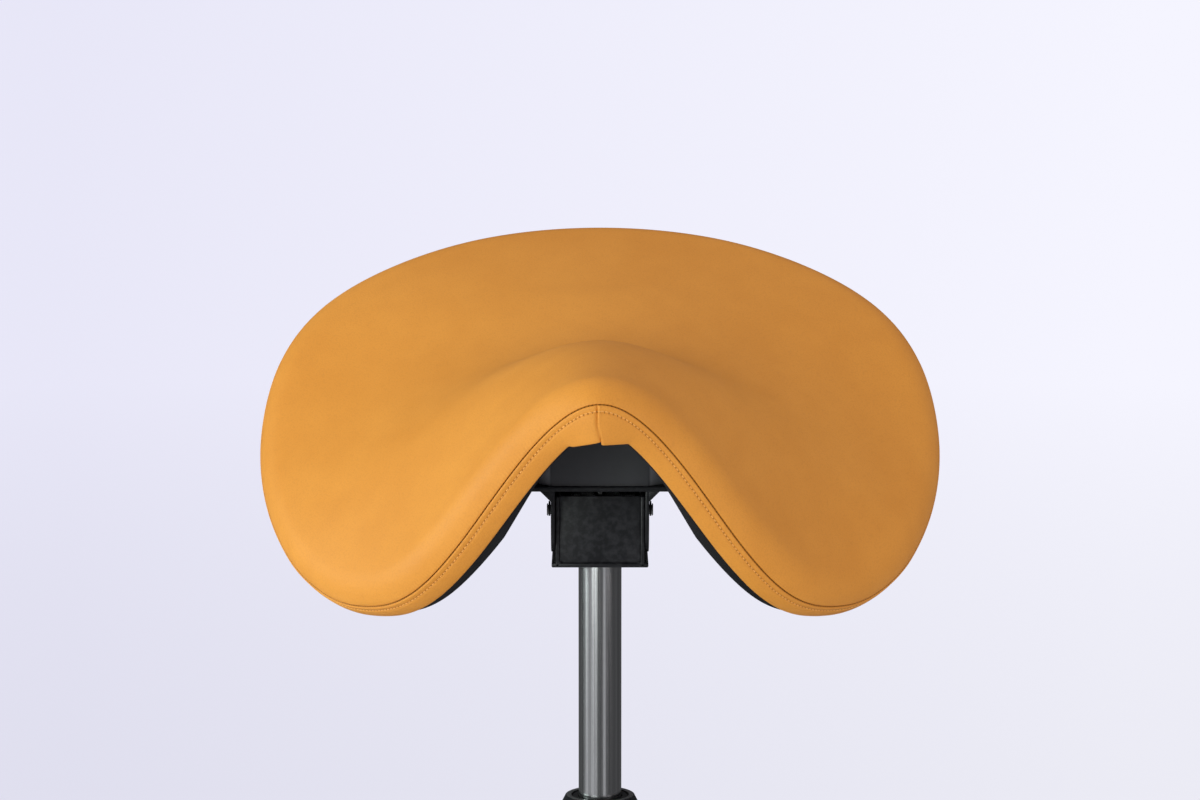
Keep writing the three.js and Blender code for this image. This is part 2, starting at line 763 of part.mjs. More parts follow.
function upper_bracket() {
  const top = bracket_level + bracket.thickness;
  const ear_shape = new THREE.Shape();
  ear_shape.absarc(pivot.y, pin_level, bracket.ear_radius, Math.PI, 2 * Math.PI);
  ear_shape.lineTo(pivot.y + bracket.ear_radius, bracket_level + clearance);
  ear_shape.lineTo(pivot.y - bracket.ear_radius, bracket_level + clearance);
  const ear_points = new THREE.Shape(ear_shape.getPoints(2 * arc_steps));
  const bend_shape = (side) => polygon([
    [side * (ear_outside - clearance), bracket_level + clearance],
    [side * (ear_outside - clearance), bracket_level - bracket.bend_height],
    [side * ear_outside, bracket_level - bracket.bend_height],
    [side * (ear_outside + bracket.bend_width), bracket_level],
    [side * (ear_outside + bracket.bend_width), bracket_level + clearance],
  ]);
  const bend = (side) => {
    const run = { depth: 2 * bracket.ear_radius, bevelEnabled: false };
    const geometry = new THREE.ExtrudeGeometry(bend_shape(side), run).rotateX(Math.PI / 2);
    return solid(geometry.translate(0, pivot.y + bracket.ear_radius, 0));
  };
  const tongue_bottom = housing_level + housing.plate + bracket.tongue_clear;
  const tongue = (from, to) =>
    block(from, to, bracket.tongue_front, bracket.tongue_rear, tongue_bottom, bracket_level + clearance);
  const outline = rounded_rectangle(bracket.half_width, bracket.front, bracket.rear, bracket.corner);
  const body = join([
    flat_plate(outline, bracket_level, top),
    side_plate(ear_points, ear_inside, ear_outside),
    side_plate(ear_points, -ear_outside, -ear_inside),
    bend(1),
    bend(-1),
    tongue(tongue_inside, tongue_outside),
    tongue(-tongue_outside, -tongue_inside),
  ]);
  const hole = bar(seat_bolt.radius + clearance, bracket_level - overrun, top + overrun, pin_sides);
  const holes = bolt_places().map(([x, y]) => hole.translate([x, y, 0]));
  const reach = ear_outside + overrun;
  const pin_hole = bar_x(pivot.pin_radius + clearance, -reach, reach, pivot.y, pin_level);
  return cut(body, [...holes, pin_hole, tongue_slot()]);
}

function bolt_places() {
  const { x, front_y, rear_y } = seat_bolt;
  return [[-x, front_y], [x, front_y], [-x, rear_y], [x, rear_y]];
}

function seat_bolt_body() {
  const head_top = bracket_level - clearance;
  const head = bar(seat_bolt.head_radius, head_top - seat_bolt.head_height, head_top, hex_sides);
  const shank_top = bracket_level + bracket.thickness + clearance + seat_bolt.grip;
  return head.add(bar(seat_bolt.radius, head_top - seat_bolt.head_height / 2, shank_top, pin_sides));
}

// Levers
function lever_path(side, start, inner_x, level) {
  const from = new THREE.Vector3(side * lever.sweep_x, lever.sweep_y, level);
  const end = new THREE.Vector3(side * lever.end_x, lever.end_y, level + lever.end_rise);
  const straight = lever.straight_shares.map((share) => from.clone().lerp(end, share).toArray());
  return [
    ...start,
    [inner_x, lever.turn_y, level],
    [side * lever.turn_x, lever.exit_y, level],
    ...straight,
  ];
}

function height_lever() {
  const tip_level = button_top + clearance + lever.rod_radius;
  const level = housing_level + lever.inner_height;
  const start = [
    [0, lever.tip_y, tip_level],
    [0, lever.run_y, tip_level],
    [lever.neck_x, lever.pin_y, lever_pin_level + lever.rod_radius / 2],
    [lever.inner_x, lever.inner_y, level],
  ];
  const barrel = bar_x(lever.barrel_radius, lever.barrel_left, lever.barrel_right,
    lever.pin_y, lever_pin_level);
  const rod_body = bent_rod(lever_path(1, start, lever.inner_x, level), lever.rod_radius);
  const bore = bar_x(lever.pin_radius + clearance, lever.barrel_left - lever.barrel_radius,
    lever.barrel_right + lever.barrel_radius, lever.pin_y, lever_pin_level);
  return rod_body.add(barrel).subtract(bore);
}

function tilt_lever() {
  const middle = (hub_left + hub_right) / 2;
  const start = [[middle, shaft.y + shaft.radius + lever.hub_bite / 2, shaft_level]];
  const hub = ring_x(shaft.radius + clearance, lever.hub_radius, hub_left, hub_right,
    shaft.y, shaft_level);
  const rod_body = bent_rod(lever_path(-1, start, middle, shaft_level), lever.rod_radius);
  const [from, to] = [hub_left - overrun, hub_right + overrun];
  const bore = bar_x(shaft.radius + clearance, from, to, shaft.y, shaft_level);
  return hub.add(rod_body).subtract(bore);
}

function lever_grip(side, level) {
  const bore = lever.rod_radius + clearance;
  const soft = grip.radius - grip.round;
  const bore_end = grip.bore_depth;
  const body = turned([
    [bore, 0],
    [grip.neck_radius, 0],
    [grip.radius, grip.round],
    [grip.radius, grip.length - grip.round],
    [soft, grip.length],
    [0, grip.length],
    [0, bore_end],
    [bore, bore_end],
  ], pin_sides);
  const from = new THREE.Vector3(side * lever.sweep_x, lever.sweep_y, level);
  const end = new THREE.Vector3(side * lever.end_x, lever.end_y, level + lever.end_rise);
  const along = end.clone().sub(from).normalize();
  const start = end.clone().addScaledVector(along, clearance - grip.bore_depth);
  const turn = new THREE.Quaternion().setFromUnitVectors(new THREE.Vector3(0, 0, 1), along);
  return solid(geometry_of(body).applyQuaternion(turn).translate(start.x, start.y, start.z));
}

function add_levers(stool) {
  const height_level = housing_level + lever.inner_height;
  const head_inside = housing.half_width + clearance;
  const head_outside = head_inside + shaft.head_height;
  const shaft_body = join([
    bar_x(shaft.radius, -head_outside, head_outside, shaft.y, shaft_level),
    bar_x(shaft.head_radius, -head_outside, -head_inside, shaft.y, shaft_level, hex_sides),
  ]);
  add_piece(stool, "height_lever", height_lever(), bright_steel);
  add_piece(stool, "height_grip", lever_grip(1, height_level), black_plastic);
  add_piece(stool, "tilt_lever", tilt_lever(), bright_steel);
  add_piece(stool, "tilt_grip", lever_grip(-1, shaft_level), black_plastic);
  add_piece(stool, "clamp_shaft", shaft_body, bright_steel);
  add_piece(stool, "clamp_nut",
    ring_x(shaft.radius + clearance, shaft.head_radius, head_inside, head_outside, shaft.y, shaft_level),
    bright_steel);
}

// The value at a share of the length, on a smooth line through evenly spaced values
function along_length(values, share) {
  const spans = values.length - 1;
  const place = share * spans;
  const index = THREE.MathUtils.clamp(Math.floor(place), 0, spans - 1);
  const before = values[index - 1] ?? 2 * values[0] - values[1];
  const after = values[index + 2] ?? 2 * values[spans] - values[spans - 1];
  const [from, to] = [values[index], values[index + 1]];
  const [leave, arrive] = [(to - before) / 2, (after - from) / 2];
  const u = place - index;
  const bend = 3 * (to - from) - 2 * leave - arrive;
  return ((2 * (from - to) + leave + arrive) * u + bend) * u * u + leave * u + from;
}

// Height of the skin of the saddle over a place in plan: a ridge with flanks that fall away on both sides
function skin_height(x, y) {
  const share = (y - saddle.front) / saddle.length;
  const crest = along_length(ridge_height_shares, share) * saddle.rise;
  const slope = along_length(flank_slope_shares, share);
  const roundness = along_length(ridge_round_shares, share) * saddle.half_width;
  return crest - slope * (Math.hypot(x, roundness) - roundness);
}

function skin_normal(x, y) {
  const step = saddle.leather / 4;
  const fall_x = (skin_height(x - step, y) - skin_height(x + step, y)) / (2 * step);
  const fall_y = (skin_height(x, y - step) - skin_height(x, y + step)) / (2 * step);
  return new THREE.Vector3(fall_x, fall_y, 1).normalize();
}

// The plan outline as evenly counted spokes, from the front centre through +X
function outline_spokes() {
  const half = outline_x_shares.map((share, i) =>
    new THREE.Vector3(share * saddle.half_width, saddle.front + outline_y_shares[i] * saddle.length, 0));
  const other = half.slice(1, -1).reverse().map((place) => new THREE.Vector3(-place.x, place.y, 0));
  const points = [...half, ...other];
  const curve = new THREE.CatmullRomCurve3(points, true, "catmullrom");
  const count = points.length * saddle.spokes_per_point;
  return Array.from({ length: count }, (_, i) => curve.getPoint(i / count));
}

const spokes = outline_spokes();
const middle = new THREE.Vector3(0, saddle.front + saddle.middle_share * saddle.length, 0);

// A ring of the saddle inside its outline, a depth under the skin
function inner_ring(share, depth) {
  return spokes.map((spoke) => {
    const plan = middle.clone().lerp(spoke, share);
    const place = new THREE.Vector3(plan.x, plan.y, skin_height(plan.x, plan.y));
    return place.addScaledVector(skin_normal(plan.x, plan.y), -depth);
  });
}

// Edge points of the skin, with the normal there and the direction that leads outwards along the skin
const edge_frame = spokes.map((spoke, i) => {
  const at = (place) => new THREE.Vector3(place.x, place.y, skin_height(place.x, place.y));
  const before = at(spokes[(i + spokes.length - 1) % spokes.length]);
  const after = at(spokes[(i + 1) % spokes.length]);
  const normal = skin_normal(spoke.x, spoke.y);
  const outward = after.sub(before).cross(normal).normalize();
  return { place: at(spoke), normal, outward };
});

// A ring at an angle round the rolled edge: 0 is the skin itself, 90 faces outwards
function edge_ring(angle, radius) {
  return edge_frame.map(({ place, normal, outward }) => place.clone()
    .addScaledVector(normal, radius * Math.cos(rad(angle)) - saddle.edge_radius)
    .addScaledVector(outward, radius * Math.sin(rad(angle))));
}

const rim_ring = (depth, reach, skirt = 0) => edge_frame.map(({ place, normal, outward }) => {
  const hang = skirt * THREE.MathUtils.clamp((saddle.skirt_start - place.z) / saddle.skirt_fade, 0, 1);
  return place.clone().addScaledVector(normal, -depth - hang).addScaledVector(outward, reach);
});

function quads(inner, outer, corners, flip) {
  const count = inner.length;
  for (let i = 0; i < count; i += 1) {
    const next = (i + 1) % count;
    const [a, b, c, d] = [inner[i], outer[i], outer[next], inner[next]];
    const split = i < count / 2 ? [a, b, c, a, c, d] : [b, c, d, b, d, a];
    corners.push(...(flip ? split.reverse() : split));
  }
}

function fan(centre, ring_places, corners, flip) {
  ring_places.forEach((place, i) => {
    const next = ring_places[(i + 1) % ring_places.length];
    corners.push(...(flip ? [centre, next, place] : [centre, place, next]));
  });
}

// A closed form between two stacks of rings that have the same outermost strip of wall between them
function shell(upper, lower, upper_centre, lower_centre) {
  const corners = [];
  fan(upper_centre, upper[0], corners, false);
  for (let i = 0; i + 1 < upper.length; i += 1) quads(upper[i], upper[i + 1], corners, false);
  fan(lower_centre, lower[0], corners, true);
  for (let i = 0; i + 1 < lower.length; i += 1) quads(lower[i], lower[i + 1], corners, true);
  quads(lower[lower.length - 1], upper[upper.length - 1], corners, true);
  return solid(triangle_geometry(corners.map((place) => place.toArray())));
}

const inner_rings = (depth) => ring_shares.map((share) => inner_ring(share, depth));
const centre_at = (depth) => new THREE.Vector3(0, middle.y, skin_height(0, middle.y)).addScaledVector(
  skin_normal(0, middle.y), -depth);
const seam_rings = (radius) => seam_arc_shares.map((share) => edge_ring(share * saddle.seam_angle, radius));
const skin_inside = saddle.edge_radius - saddle.leather;
const half_under = (saddle.seam_angle + saddle.under_angle) / 2;
const foam_edge = skin_inside - saddle.foam_gap;
const foam_depth = saddle.edge_radius - foam_edge * Math.cos(rad(saddle.under_angle));
const pan_top = foam_depth + saddle.pan_gap;
const pan_bottom = pan_top + saddle.pan_thickness;

function leather_top() {
  return shell(
    [...inner_rings(0), ...seam_rings(saddle.edge_radius)],
    [...inner_rings(saddle.leather), ...seam_rings(skin_inside)],
    centre_at(0), centre_at(saddle.leather));
}

// The side band under the seam. At the top of the front arch it hangs down to a straight lower edge.
function leather_band() {
  const seam_gap = THREE.MathUtils.radToDeg(clearance / skin_inside);
  const start = saddle.seam_angle + seam_gap;
  const dropped = (places) => places.map((place) => {
    if (place.y < saddle.front && place.z > saddle.arch_flat) place.z = saddle.arch_flat;
    return place;
  });
  const rings = [
    edge_ring(start, saddle.edge_radius),
    edge_ring(half_under, saddle.edge_radius),
    dropped(edge_ring(saddle.under_angle, saddle.edge_radius)),
    dropped(edge_ring(saddle.under_angle, skin_inside)),
    edge_ring(half_under, skin_inside),
    edge_ring(start, skin_inside),
  ];
  const corners = [];
  rings.forEach((places, i) => quads(places, rings[(i + 1) % rings.length], corners, false));
  return solid(triangle_geometry(corners.map((place) => place.toArray())));
}

function seat_foam() {
  const skin_depth = saddle.leather + clearance;
  return shell(
    [...inner_rings(skin_depth), ...seam_rings(foam_edge), edge_ring(half_under, foam_edge),
      edge_ring(saddle.under_angle, foam_edge)],
    inner_rings(foam_depth), centre_at(skin_depth), centre_at(foam_depth));
}

// The moulded pan: a shell under the foam, with a rim that hangs deeper down the flanks of the saddle, and a
// pedestal that stands on the bracket
function seat_pan() {
  const reach = foam_edge * Math.sin(rad(saddle.under_angle)) - saddle.pan_rim_inset + clearance;
  const under_rings = [...inner_rings(pan_bottom).slice(0, -1), rim_ring(pan_bottom, 0, saddle.pan_skirt)];
  const body = shell(
    [...inner_rings(pan_top), rim_ring(pan_top, reach)],
    [...under_rings, rim_ring(pan_bottom - saddle.leather, reach - clearance, saddle.pan_skirt)],
    centre_at(pan_top), centre_at(pan_bottom));
  const half_depth = (pan_top + pan_bottom) / 2;
  const sky = saddle.rise + saddle.edge_radius;
  const lifted = (places) => places.map((place) => new THREE.Vector3(place.x, place.y, sky));
  const under = inner_rings(half_depth);
  const centre = centre_at(half_depth);
  const above = shell(under.map(lifted), under, new THREE.Vector3(centre.x, centre.y, sky), centre);
  const foot = clearance - saddle.above_bracket;
  const outline = rounded_rectangle(pedestal.half_width, pedestal.front, pedestal.rear, pedestal.corner);
  const stand = flat_plate(outline, foot, sky - overrun).subtract(above);
  const bore_top = foot + seat_bolt.grip + 2 * clearance;
  const bore = bar(seat_bolt.radius + clearance, foot - overrun, bore_top, pin_sides);
  return cut(body.add(stand), bolt_places().map(([x, y]) => bore.translate([x, y, 0])));
}

function add_seat(stool) {
  add_piece(stool, "upper_bracket", upper_bracket(), black_steel);
  bolt_places().forEach(([x, y], i) => {
    add_piece(stool, `seat_bolt_${i + 1}`, seat_bolt_body().translate([x, y, 0]), bright_steel);
  });
  const cushion = new THREE.Group();
  cushion.position.z = saddle_level;
  add_piece(cushion, "seat_pan", seat_pan(), black_plastic);
  add_piece(cushion, "seat_foam", seat_foam(), foam);
  add_piece(cushion, "leather_top", leather_top(), leather);
  add_piece(cushion, "leather_band", leather_band(), leather);
  stool.add(cushion);
}

const stool = new THREE.Group();
add_casters(stool);
add_lift(stool);
add_housing(stool);
add_levers(stool);
add_seat(stool);

export default stool;
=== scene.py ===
# Looks of the saddle stool: leather saddle, black bracket and housing, steel lift, and a cast
# base on casters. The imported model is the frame. Lengths are in millimetres unless they are in
# the stage or a material, and MM turns them into metres.

import math

import bpy
from mathutils import Matrix, Vector


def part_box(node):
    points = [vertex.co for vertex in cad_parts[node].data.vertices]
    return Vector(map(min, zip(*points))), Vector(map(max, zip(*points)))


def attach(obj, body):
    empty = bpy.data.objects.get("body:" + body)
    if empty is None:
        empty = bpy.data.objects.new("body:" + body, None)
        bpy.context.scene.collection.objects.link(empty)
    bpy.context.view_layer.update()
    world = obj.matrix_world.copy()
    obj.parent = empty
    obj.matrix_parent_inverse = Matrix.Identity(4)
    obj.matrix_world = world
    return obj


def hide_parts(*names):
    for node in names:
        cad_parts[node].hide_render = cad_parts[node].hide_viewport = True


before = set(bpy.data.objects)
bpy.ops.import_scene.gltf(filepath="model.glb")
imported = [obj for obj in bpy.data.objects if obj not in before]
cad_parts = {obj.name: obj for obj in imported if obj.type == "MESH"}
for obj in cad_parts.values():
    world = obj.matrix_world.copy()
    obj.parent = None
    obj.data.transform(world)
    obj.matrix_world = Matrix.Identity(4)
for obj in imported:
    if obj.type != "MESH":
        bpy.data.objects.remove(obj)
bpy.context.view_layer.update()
scene = bpy.context.scene
MM = 0.001


# ---------------------------------------------------------------- Camera, lights and stage

CAMERA_PLACE = (0, -2.4757, 0.9389)
CAMERA_PITCH = 82
LENS = 115.98
SENSOR_WIDTH = 36
SEAT_MIDDLE = (0, 0, 0.58)
# Each light's name, place, width, height, watts and colour.
AREA_LIGHTS = (
    ("left_light", (-2.1, -0.3, 0.9), 1.0, 1.4, 22.5, (0.84, 1, 0.93)),
    ("front_left_light", (-1.3, -2.3, 0.75), 1.2, 1.2, 21.5, (0.92, 1, 0.95)),
    ("right_light", (1.6, -1.6, 0.8), 0.8, 1.2, 5, (1, 0.97, 0.98)),
    ("top_light", (-0.2, 0.25, 2.3), 1.8, 1.4, 2, (1, 0.93, 0.7)))
ROOM_LEVEL = 0.74
ROOM_TINT = (0.97, 0.94, 1, 1)
BACKGROUND_LEFT = (0.775, 0.77, 0.91, 1)
BACKGROUND_RIGHT = (0.89, 0.89, 0.98, 1)
BACKGROUND_SIDES = (-0.14, 0.14)
SKY_LEAST_AHEAD = 0.015
FLOOR_LEAST_AHEAD = 0.5
HORIZON_GLOW = 1.03
FLOOR_SIZE = 70
FLOOR_TONE = (0.84, 0.84, 0.86, 1)
FLOOR_GLOW = (0.8, 0.93)
FLOOR_GLOW_REACH = (0.6, 4.5)
FLOOR_LIT = (0.12, 0.32)
NEAR_FLOOR = (0.45, 1.1)
SKY_MIRRORED = 0.45
MIRRORED_TINT = (0.96, 0.97, 1, 1)
STUDIO_DIM = 0.1
# Each panel's bearings in degrees, where it starts, is full, fades and ends, and its brightness.
STUDIO_PANELS = (((-100, -80, -61, -51), 0.47), ((-56, -46, -22, -14), 0.55),
                 ((16, 21, 26, 33), 0.8))


def add_camera():
    turn = (math.radians(CAMERA_PITCH), 0, 0)
    bpy.ops.object.camera_add(location=CAMERA_PLACE, rotation=turn)
    scene.camera = bpy.context.object
    scene.camera.data.lens = LENS
    scene.camera.data.sensor_width = SENSOR_WIDTH


def add_lights():
    for name, place, width, height, watts, colour in AREA_LIGHTS:
        bpy.ops.object.light_add(type="AREA", location=place)
        lamp = bpy.context.object
        lamp.name = name
        way = Vector(SEAT_MIDDLE) - Vector(place)
        lamp.rotation_euler = way.to_track_quat("-Z", "Y").to_euler()
        lamp.data.shape = "RECTANGLE"
        lamp.data.size = width
        lamp.data.size_y = height
        lamp.data.energy = watts
        lamp.data.color = colour


def ray_share(tree, *kinds):
    """1 for rays of the named kinds and 0 for all others."""
    rays = tree.nodes.new("ShaderNodeLightPath")
    total = rays.outputs[kinds[0]]
    for kind in kinds[1:]:
        total = maths(tree, "MAXIMUM", total, rays.outputs[kind])
    return total


def studio_group():
    """How bright the studio is round the stool, by bearing: two wide panels on the left of the
    camera, a narrow one on its right, and dim elsewhere."""
    tree, given, out = new_group("studio_panels", [("Way", (0.0, 0.0, 0.0))], ["Brightness"])
    way = add_node(tree, "ShaderNodeSeparateXYZ", {"Vector": given["Way"]})
    ahead = maths(tree, "MULTIPLY", way.outputs["Y"], -1.0)
    turn = maths(tree, "ARCTAN2", way.outputs["X"], ahead)
    bearing = maths(tree, "MULTIPLY", turn, 180 / math.pi)
    brightness = maths(tree, "ADD", STUDIO_DIM, 0.0)
    for (start, full, fade, end), level in STUDIO_PANELS:
        rise = ramp(tree, bearing, start, full)
        fall = ramp(tree, bearing, fade, end, 1.0, 0.0)
        panel = maths(tree, "MULTIPLY", maths(tree, "MULTIPLY", rise, fall), level)
        brightness = maths(tree, "ADD", brightness, panel)
    link(tree, brightness, out["Brightness"])
    return tree


def studio_brightness(tree, panels, way):
    group = tree.nodes.new("ShaderNodeGroup")
    group.node_tree = panels
    link(tree, way, group.inputs["Way"])
    return group.outputs["Brightness"]


def shader_of(tree, kind, colour, strength=None):
    values = {"Color": colour} if strength is None else {"Color": colour, "Strength": strength}
    return add_node(tree, kind, values).outputs[0]


def mix_shaders(tree, share, low, high):
    mix = tree.nodes.new("ShaderNodeMixShader")
    for socket, source in zip(mix.inputs, (share, low, high)):
        link(tree, source, socket)
    return mix.outputs["Shader"]


def by_ray(tree, diffuse, mirrored, seen):
    """What soft rays, mirrored rays and the camera's own rays meet."""
    soft = mix_shaders(tree, ray_share(tree, "Is Glossy Ray"), diffuse, mirrored)
    return mix_shaders(tree, ray_share(tree, "Is Camera Ray", "Is Transmission Ray"), soft, seen)


def pale_colour(tree, across, ahead, least):
    """The background's colour: from the left tone to the right one, by bearing from the camera."""
    side = maths(tree, "DIVIDE", across, maths(tree, "MAXIMUM", ahead, least))
    share = ramp(tree, side, *BACKGROUND_SIDES)
    return mix_colour(tree, share, BACKGROUND_LEFT, BACKGROUND_RIGHT)


def add_world(panels):
    world = bpy.data.worlds.new("pale_room")
    scene.world = world
    world.use_nodes = True
    tree = world.node_tree
    tree.nodes.clear()
    output = tree.nodes.new("ShaderNodeOutputWorld")
    way = tree.nodes.new("ShaderNodeTexCoord").outputs["Generated"]
    split = add_node(tree, "ShaderNodeSeparateXYZ", {"Vector": way})
    colour = pale_colour(tree, split.outputs["X"], split.outputs["Y"], SKY_LEAST_AHEAD)
    brightness = maths(tree, "MULTIPLY", studio_brightness(tree, panels, way), SKY_MIRRORED)
    room = shader_of(tree, "ShaderNodeBackground", ROOM_TINT, ROOM_LEVEL)
    mirrored = shader_of(tree, "ShaderNodeBackground", MIRRORED_TINT, brightness)
    seen = shader_of(tree, "ShaderNodeBackground", colour, HORIZON_GLOW)
    link(tree, by_ray(tree, room, mirrored, seen), output.inputs["Surface"])


def add_floor(panels):
    """A wide pale floor that fills the picture. What is seen of it glows softly and still takes a
    shadow, and from below it is clear."""
    bpy.ops.mesh.primitive_plane_add(size=FLOOR_SIZE)
    floor = bpy.context.object
    floor.name = "floor"
    material = bpy.data.materials.new("pale_floor")
    material.use_nodes = True
    tree = material.node_tree
    tree.nodes.clear()
    output = tree.nodes.new("ShaderNodeOutputMaterial")
    place = object_place(tree)
    split = add_node(tree, "ShaderNodeSeparateXYZ", {"Vector": place})
    ahead = maths(tree, "ADD", split.outputs["Y"], -CAMERA_PLACE[1])
    colour = pale_colour(tree, split.outputs["X"], ahead, FLOOR_LEAST_AHEAD)
    length = add_node(tree, "ShaderNodeVectorMath", {0: place}, operation="LENGTH").outputs["Value"]
    far_glow = ramp(tree, length, *FLOOR_GLOW_REACH, *FLOOR_GLOW)
    near = ramp(tree, length, *NEAR_FLOOR, FLOOR_LIT[1] - FLOOR_LIT[0], 0.0)
    both = tree.nodes.new("ShaderNodeAddShader")
    glow = shader_of(tree, "ShaderNodeEmission", colour, maths(tree, "SUBTRACT", far_glow, near))
    lit = shader_of(tree, "ShaderNodeBsdfDiffuse", maths(tree, "ADD", near, FLOOR_LIT[0]))
    link(tree, glow, both.inputs[0])
    link(tree, lit, both.inputs[1])
    mirrored = shader_of(tree, "ShaderNodeEmission", MIRRORED_TINT,
                         studio_brightness(tree, panels, place))
    plain = shader_of(tree, "ShaderNodeBsdfDiffuse", FLOOR_TONE)
    above = by_ray(tree, plain, mirrored, both.outputs["Shader"])
    under = tree.nodes.new("ShaderNodeNewGeometry").outputs["Backfacing"]
    clear = tree.nodes.new("ShaderNodeBsdfTransparent").outputs["BSDF"]
    link(tree, mix_shaders(tree, under, above, clear), output.inputs["Surface"])
    floor.data.materials.append(material)


# ---------------------------------------------------------------- Working with nodes

def link(tree, source, target):
    tree.links.new(source, target)


def add_node(tree, kind, values=None, **settings):
    node = tree.nodes.new(kind)
    for key, value in settings.items():
        setattr(node, key, value)
    for key, value in (values or {}).items():
        if isinstance(value, bpy.types.NodeSocket):
            tree.links.new(value, node.inputs[key])
        else:
            node.inputs[key].default_value = value
    return node


def noise_field(tree, vector, scale, detail=3, roughness=0.5):
    node = add_node(tree, "ShaderNodeTexNoise", {"Vector": vector, "Scale": scale, "Detail": detail,
                                                 "Roughness": roughness})
    return node.outputs["Fac"]


def ramp(tree, value, low, high, to_low=0.0, to_high=1.0):
    node = add_node(tree, "ShaderNodeMapRange", {"Value": value, "From Min": low, "From Max": high,
                                                 "To Min": to_low, "To Max": to_high})
    return node.outputs["Result"]


def maths(tree, operation, a, b=0.0):
    node = add_node(tree, "ShaderNodeMath", {0: a, 1: b}, operation=operation)
    return node.outputs["Value"]


def mix_colour(tree, share, low, high):
    node = tree.nodes.new("ShaderNodeMix")
    node.data_type = "RGBA"
    for socket, value in ((node.inputs[0], share), (node.inputs[6], low), (node.inputs[7], high)):
        if isinstance(value, bpy.types.NodeSocket):
            tree.links.new(value, socket)
        else:
            socket.default_value = value
    return node.outputs[2]


def new_group(name, inputs, outputs):
    tree = bpy.data.node_groups.new(name, "ShaderNodeTree")
    for label, value in inputs:
        kind = "NodeSocketVector" if isinstance(value, tuple) else "NodeSocketFloat"
        socket = tree.interface.new_socket(name=label, in_out="INPUT", socket_type=kind)
        socket.default_value = value
    for label in outputs:
        tree.interface.new_socket(name=label, in_out="OUTPUT", socket_type="NodeSocketFloat")
    return tree, tree.nodes.new("NodeGroupInput").outputs, tree.nodes.new("NodeGroupOutput").inputs


def place_group(tree, group, **values):
    node = tree.nodes.new("ShaderNodeGroup")
    node.node_tree = group
    for key, value in values.items():
        node.inputs[key.replace("_", " ")].default_value = value
    return node.outputs


def new_material(name, roughness, metallic=0.0, specular=0.5):
    material = bpy.data.materials.new(name)
    material.use_nodes = True
    tree = material.node_tree
    shader = tree.nodes["Principled BSDF"]
    shader.inputs["Roughness"].default_value = roughness
    shader.inputs["Metallic"].default_value = metallic
    shader.inputs["Specular IOR Level"].default_value = specular
    return material, tree, shader


def add_bump(tree, shader, height, depth_mm, strength=1.0):
    bump = add_node(tree, "ShaderNodeBump", {"Height": height, "Distance": depth_mm * MM,
                                             "Strength": strength})
    tree.links.new(bump.outputs["Normal"], shader.inputs["Normal"])


# ---------------------------------------------------------------- Shared effects

def object_place(tree):
    return tree.nodes.new("ShaderNodeTexCoord").outputs["Object"]


def leather_grain_group():
    """Pebbled grain with soft creases between the pebbles, and slow changes of tone."""
    tree, given, out = new_group("leather_grain", [("Pebbles per metre", 900.0)],
                                 ["Height", "Valley", "Tone"])
    place = object_place(tree)
    shift = add_node(tree, "ShaderNodeTexNoise", {"Vector": place, "Scale": 240.0, "Detail": 2.0})
    bent = add_node(tree, "ShaderNodeVectorMath", {0: shift.outputs["Color"], "Scale": 0.0011},
                    operation="SCALE")
    moved = add_node(tree, "ShaderNodeVectorMath", {0: place, 1: bent.outputs["Vector"]},
                     operation="ADD")
    cells = add_node(tree, "ShaderNodeTexVoronoi", {"Vector": moved.outputs["Vector"]},
                     feature="F1")
    link(tree, given["Pebbles per metre"], cells.inputs["Scale"])
    pebble = ramp(tree, cells.outputs["Distance"], 0.1, 0.75, 1.0, 0.0)
    fine = noise_field(tree, place, 2600.0, 2)
    height = maths(tree, "ADD", pebble, maths(tree, "MULTIPLY", fine, 0.35))
    link(tree, height, out["Height"])
    link(tree, ramp(tree, cells.outputs["Distance"], 0.45, 0.85), out["Valley"])
    slow = noise_field(tree, place, 9.0, 3, 0.6)
    middle = noise_field(tree, place, 60.0, 2)
    link(tree, maths(tree, "ADD", maths(tree, "MULTIPLY", slow, 0.75),
                     maths(tree, "MULTIPLY", middle, 0.25)),
         out["Tone"])
    return tree


def seam_marks_group():
    """Shade and dents beside a seam, and a row of needle holes. The UV map holds the way along
    the seam and off it, in millimetres, and the way off is below zero on the top panel."""
    tree, given, out = new_group("seam_marks", [("Stitch length", 2.3), ("Row", 0.0)],
                                 ["Crease", "Holes", "Pucker"])
    uv = add_node(tree, "ShaderNodeSeparateXYZ",
                  {"Vector": tree.nodes.new("ShaderNodeTexCoord").outputs["UV"]})
    along, off = uv.outputs["X"], maths(tree, "ABSOLUTE", uv.outputs["Y"])
    link(tree, ramp(tree, off, 0.15, 0.6, 1.0, 0.0), out["Crease"])
    divide = add_node(tree, "ShaderNodeMath", {0: along}, operation="DIVIDE")
    link(tree, given["Stitch length"], divide.inputs[1])
    turn = maths(tree, "MULTIPLY", divide.outputs["Value"], 2 * math.pi)
    wave = maths(tree, "COSINE", turn)
    from_row = add_node(tree, "ShaderNodeMath", {0: uv.outputs["Y"]}, operation="SUBTRACT")
    link(tree, given["Row"], from_row.inputs[1])
    near = ramp(tree, maths(tree, "ABSOLUTE", from_row.outputs["Value"]), 0.3, 0.55, 1.0, 0.0)
    link(tree, maths(tree, "MULTIPLY", ramp(tree, wave, 0.55, 0.95), near), out["Holes"])
    slow = noise_field(tree, tree.nodes.new("ShaderNodeTexCoord").outputs["Object"], 90.0, 2)
    fading = ramp(tree, off, 0.5, 7.0, 1.0, 0.0)
    ripple = maths(tree, "MULTIPLY", maths(tree, "ADD", maths(tree, "MULTIPLY", wave, 0.12), slow),
                   fading)
    link(tree, ripple, out["Pucker"])
    return tree


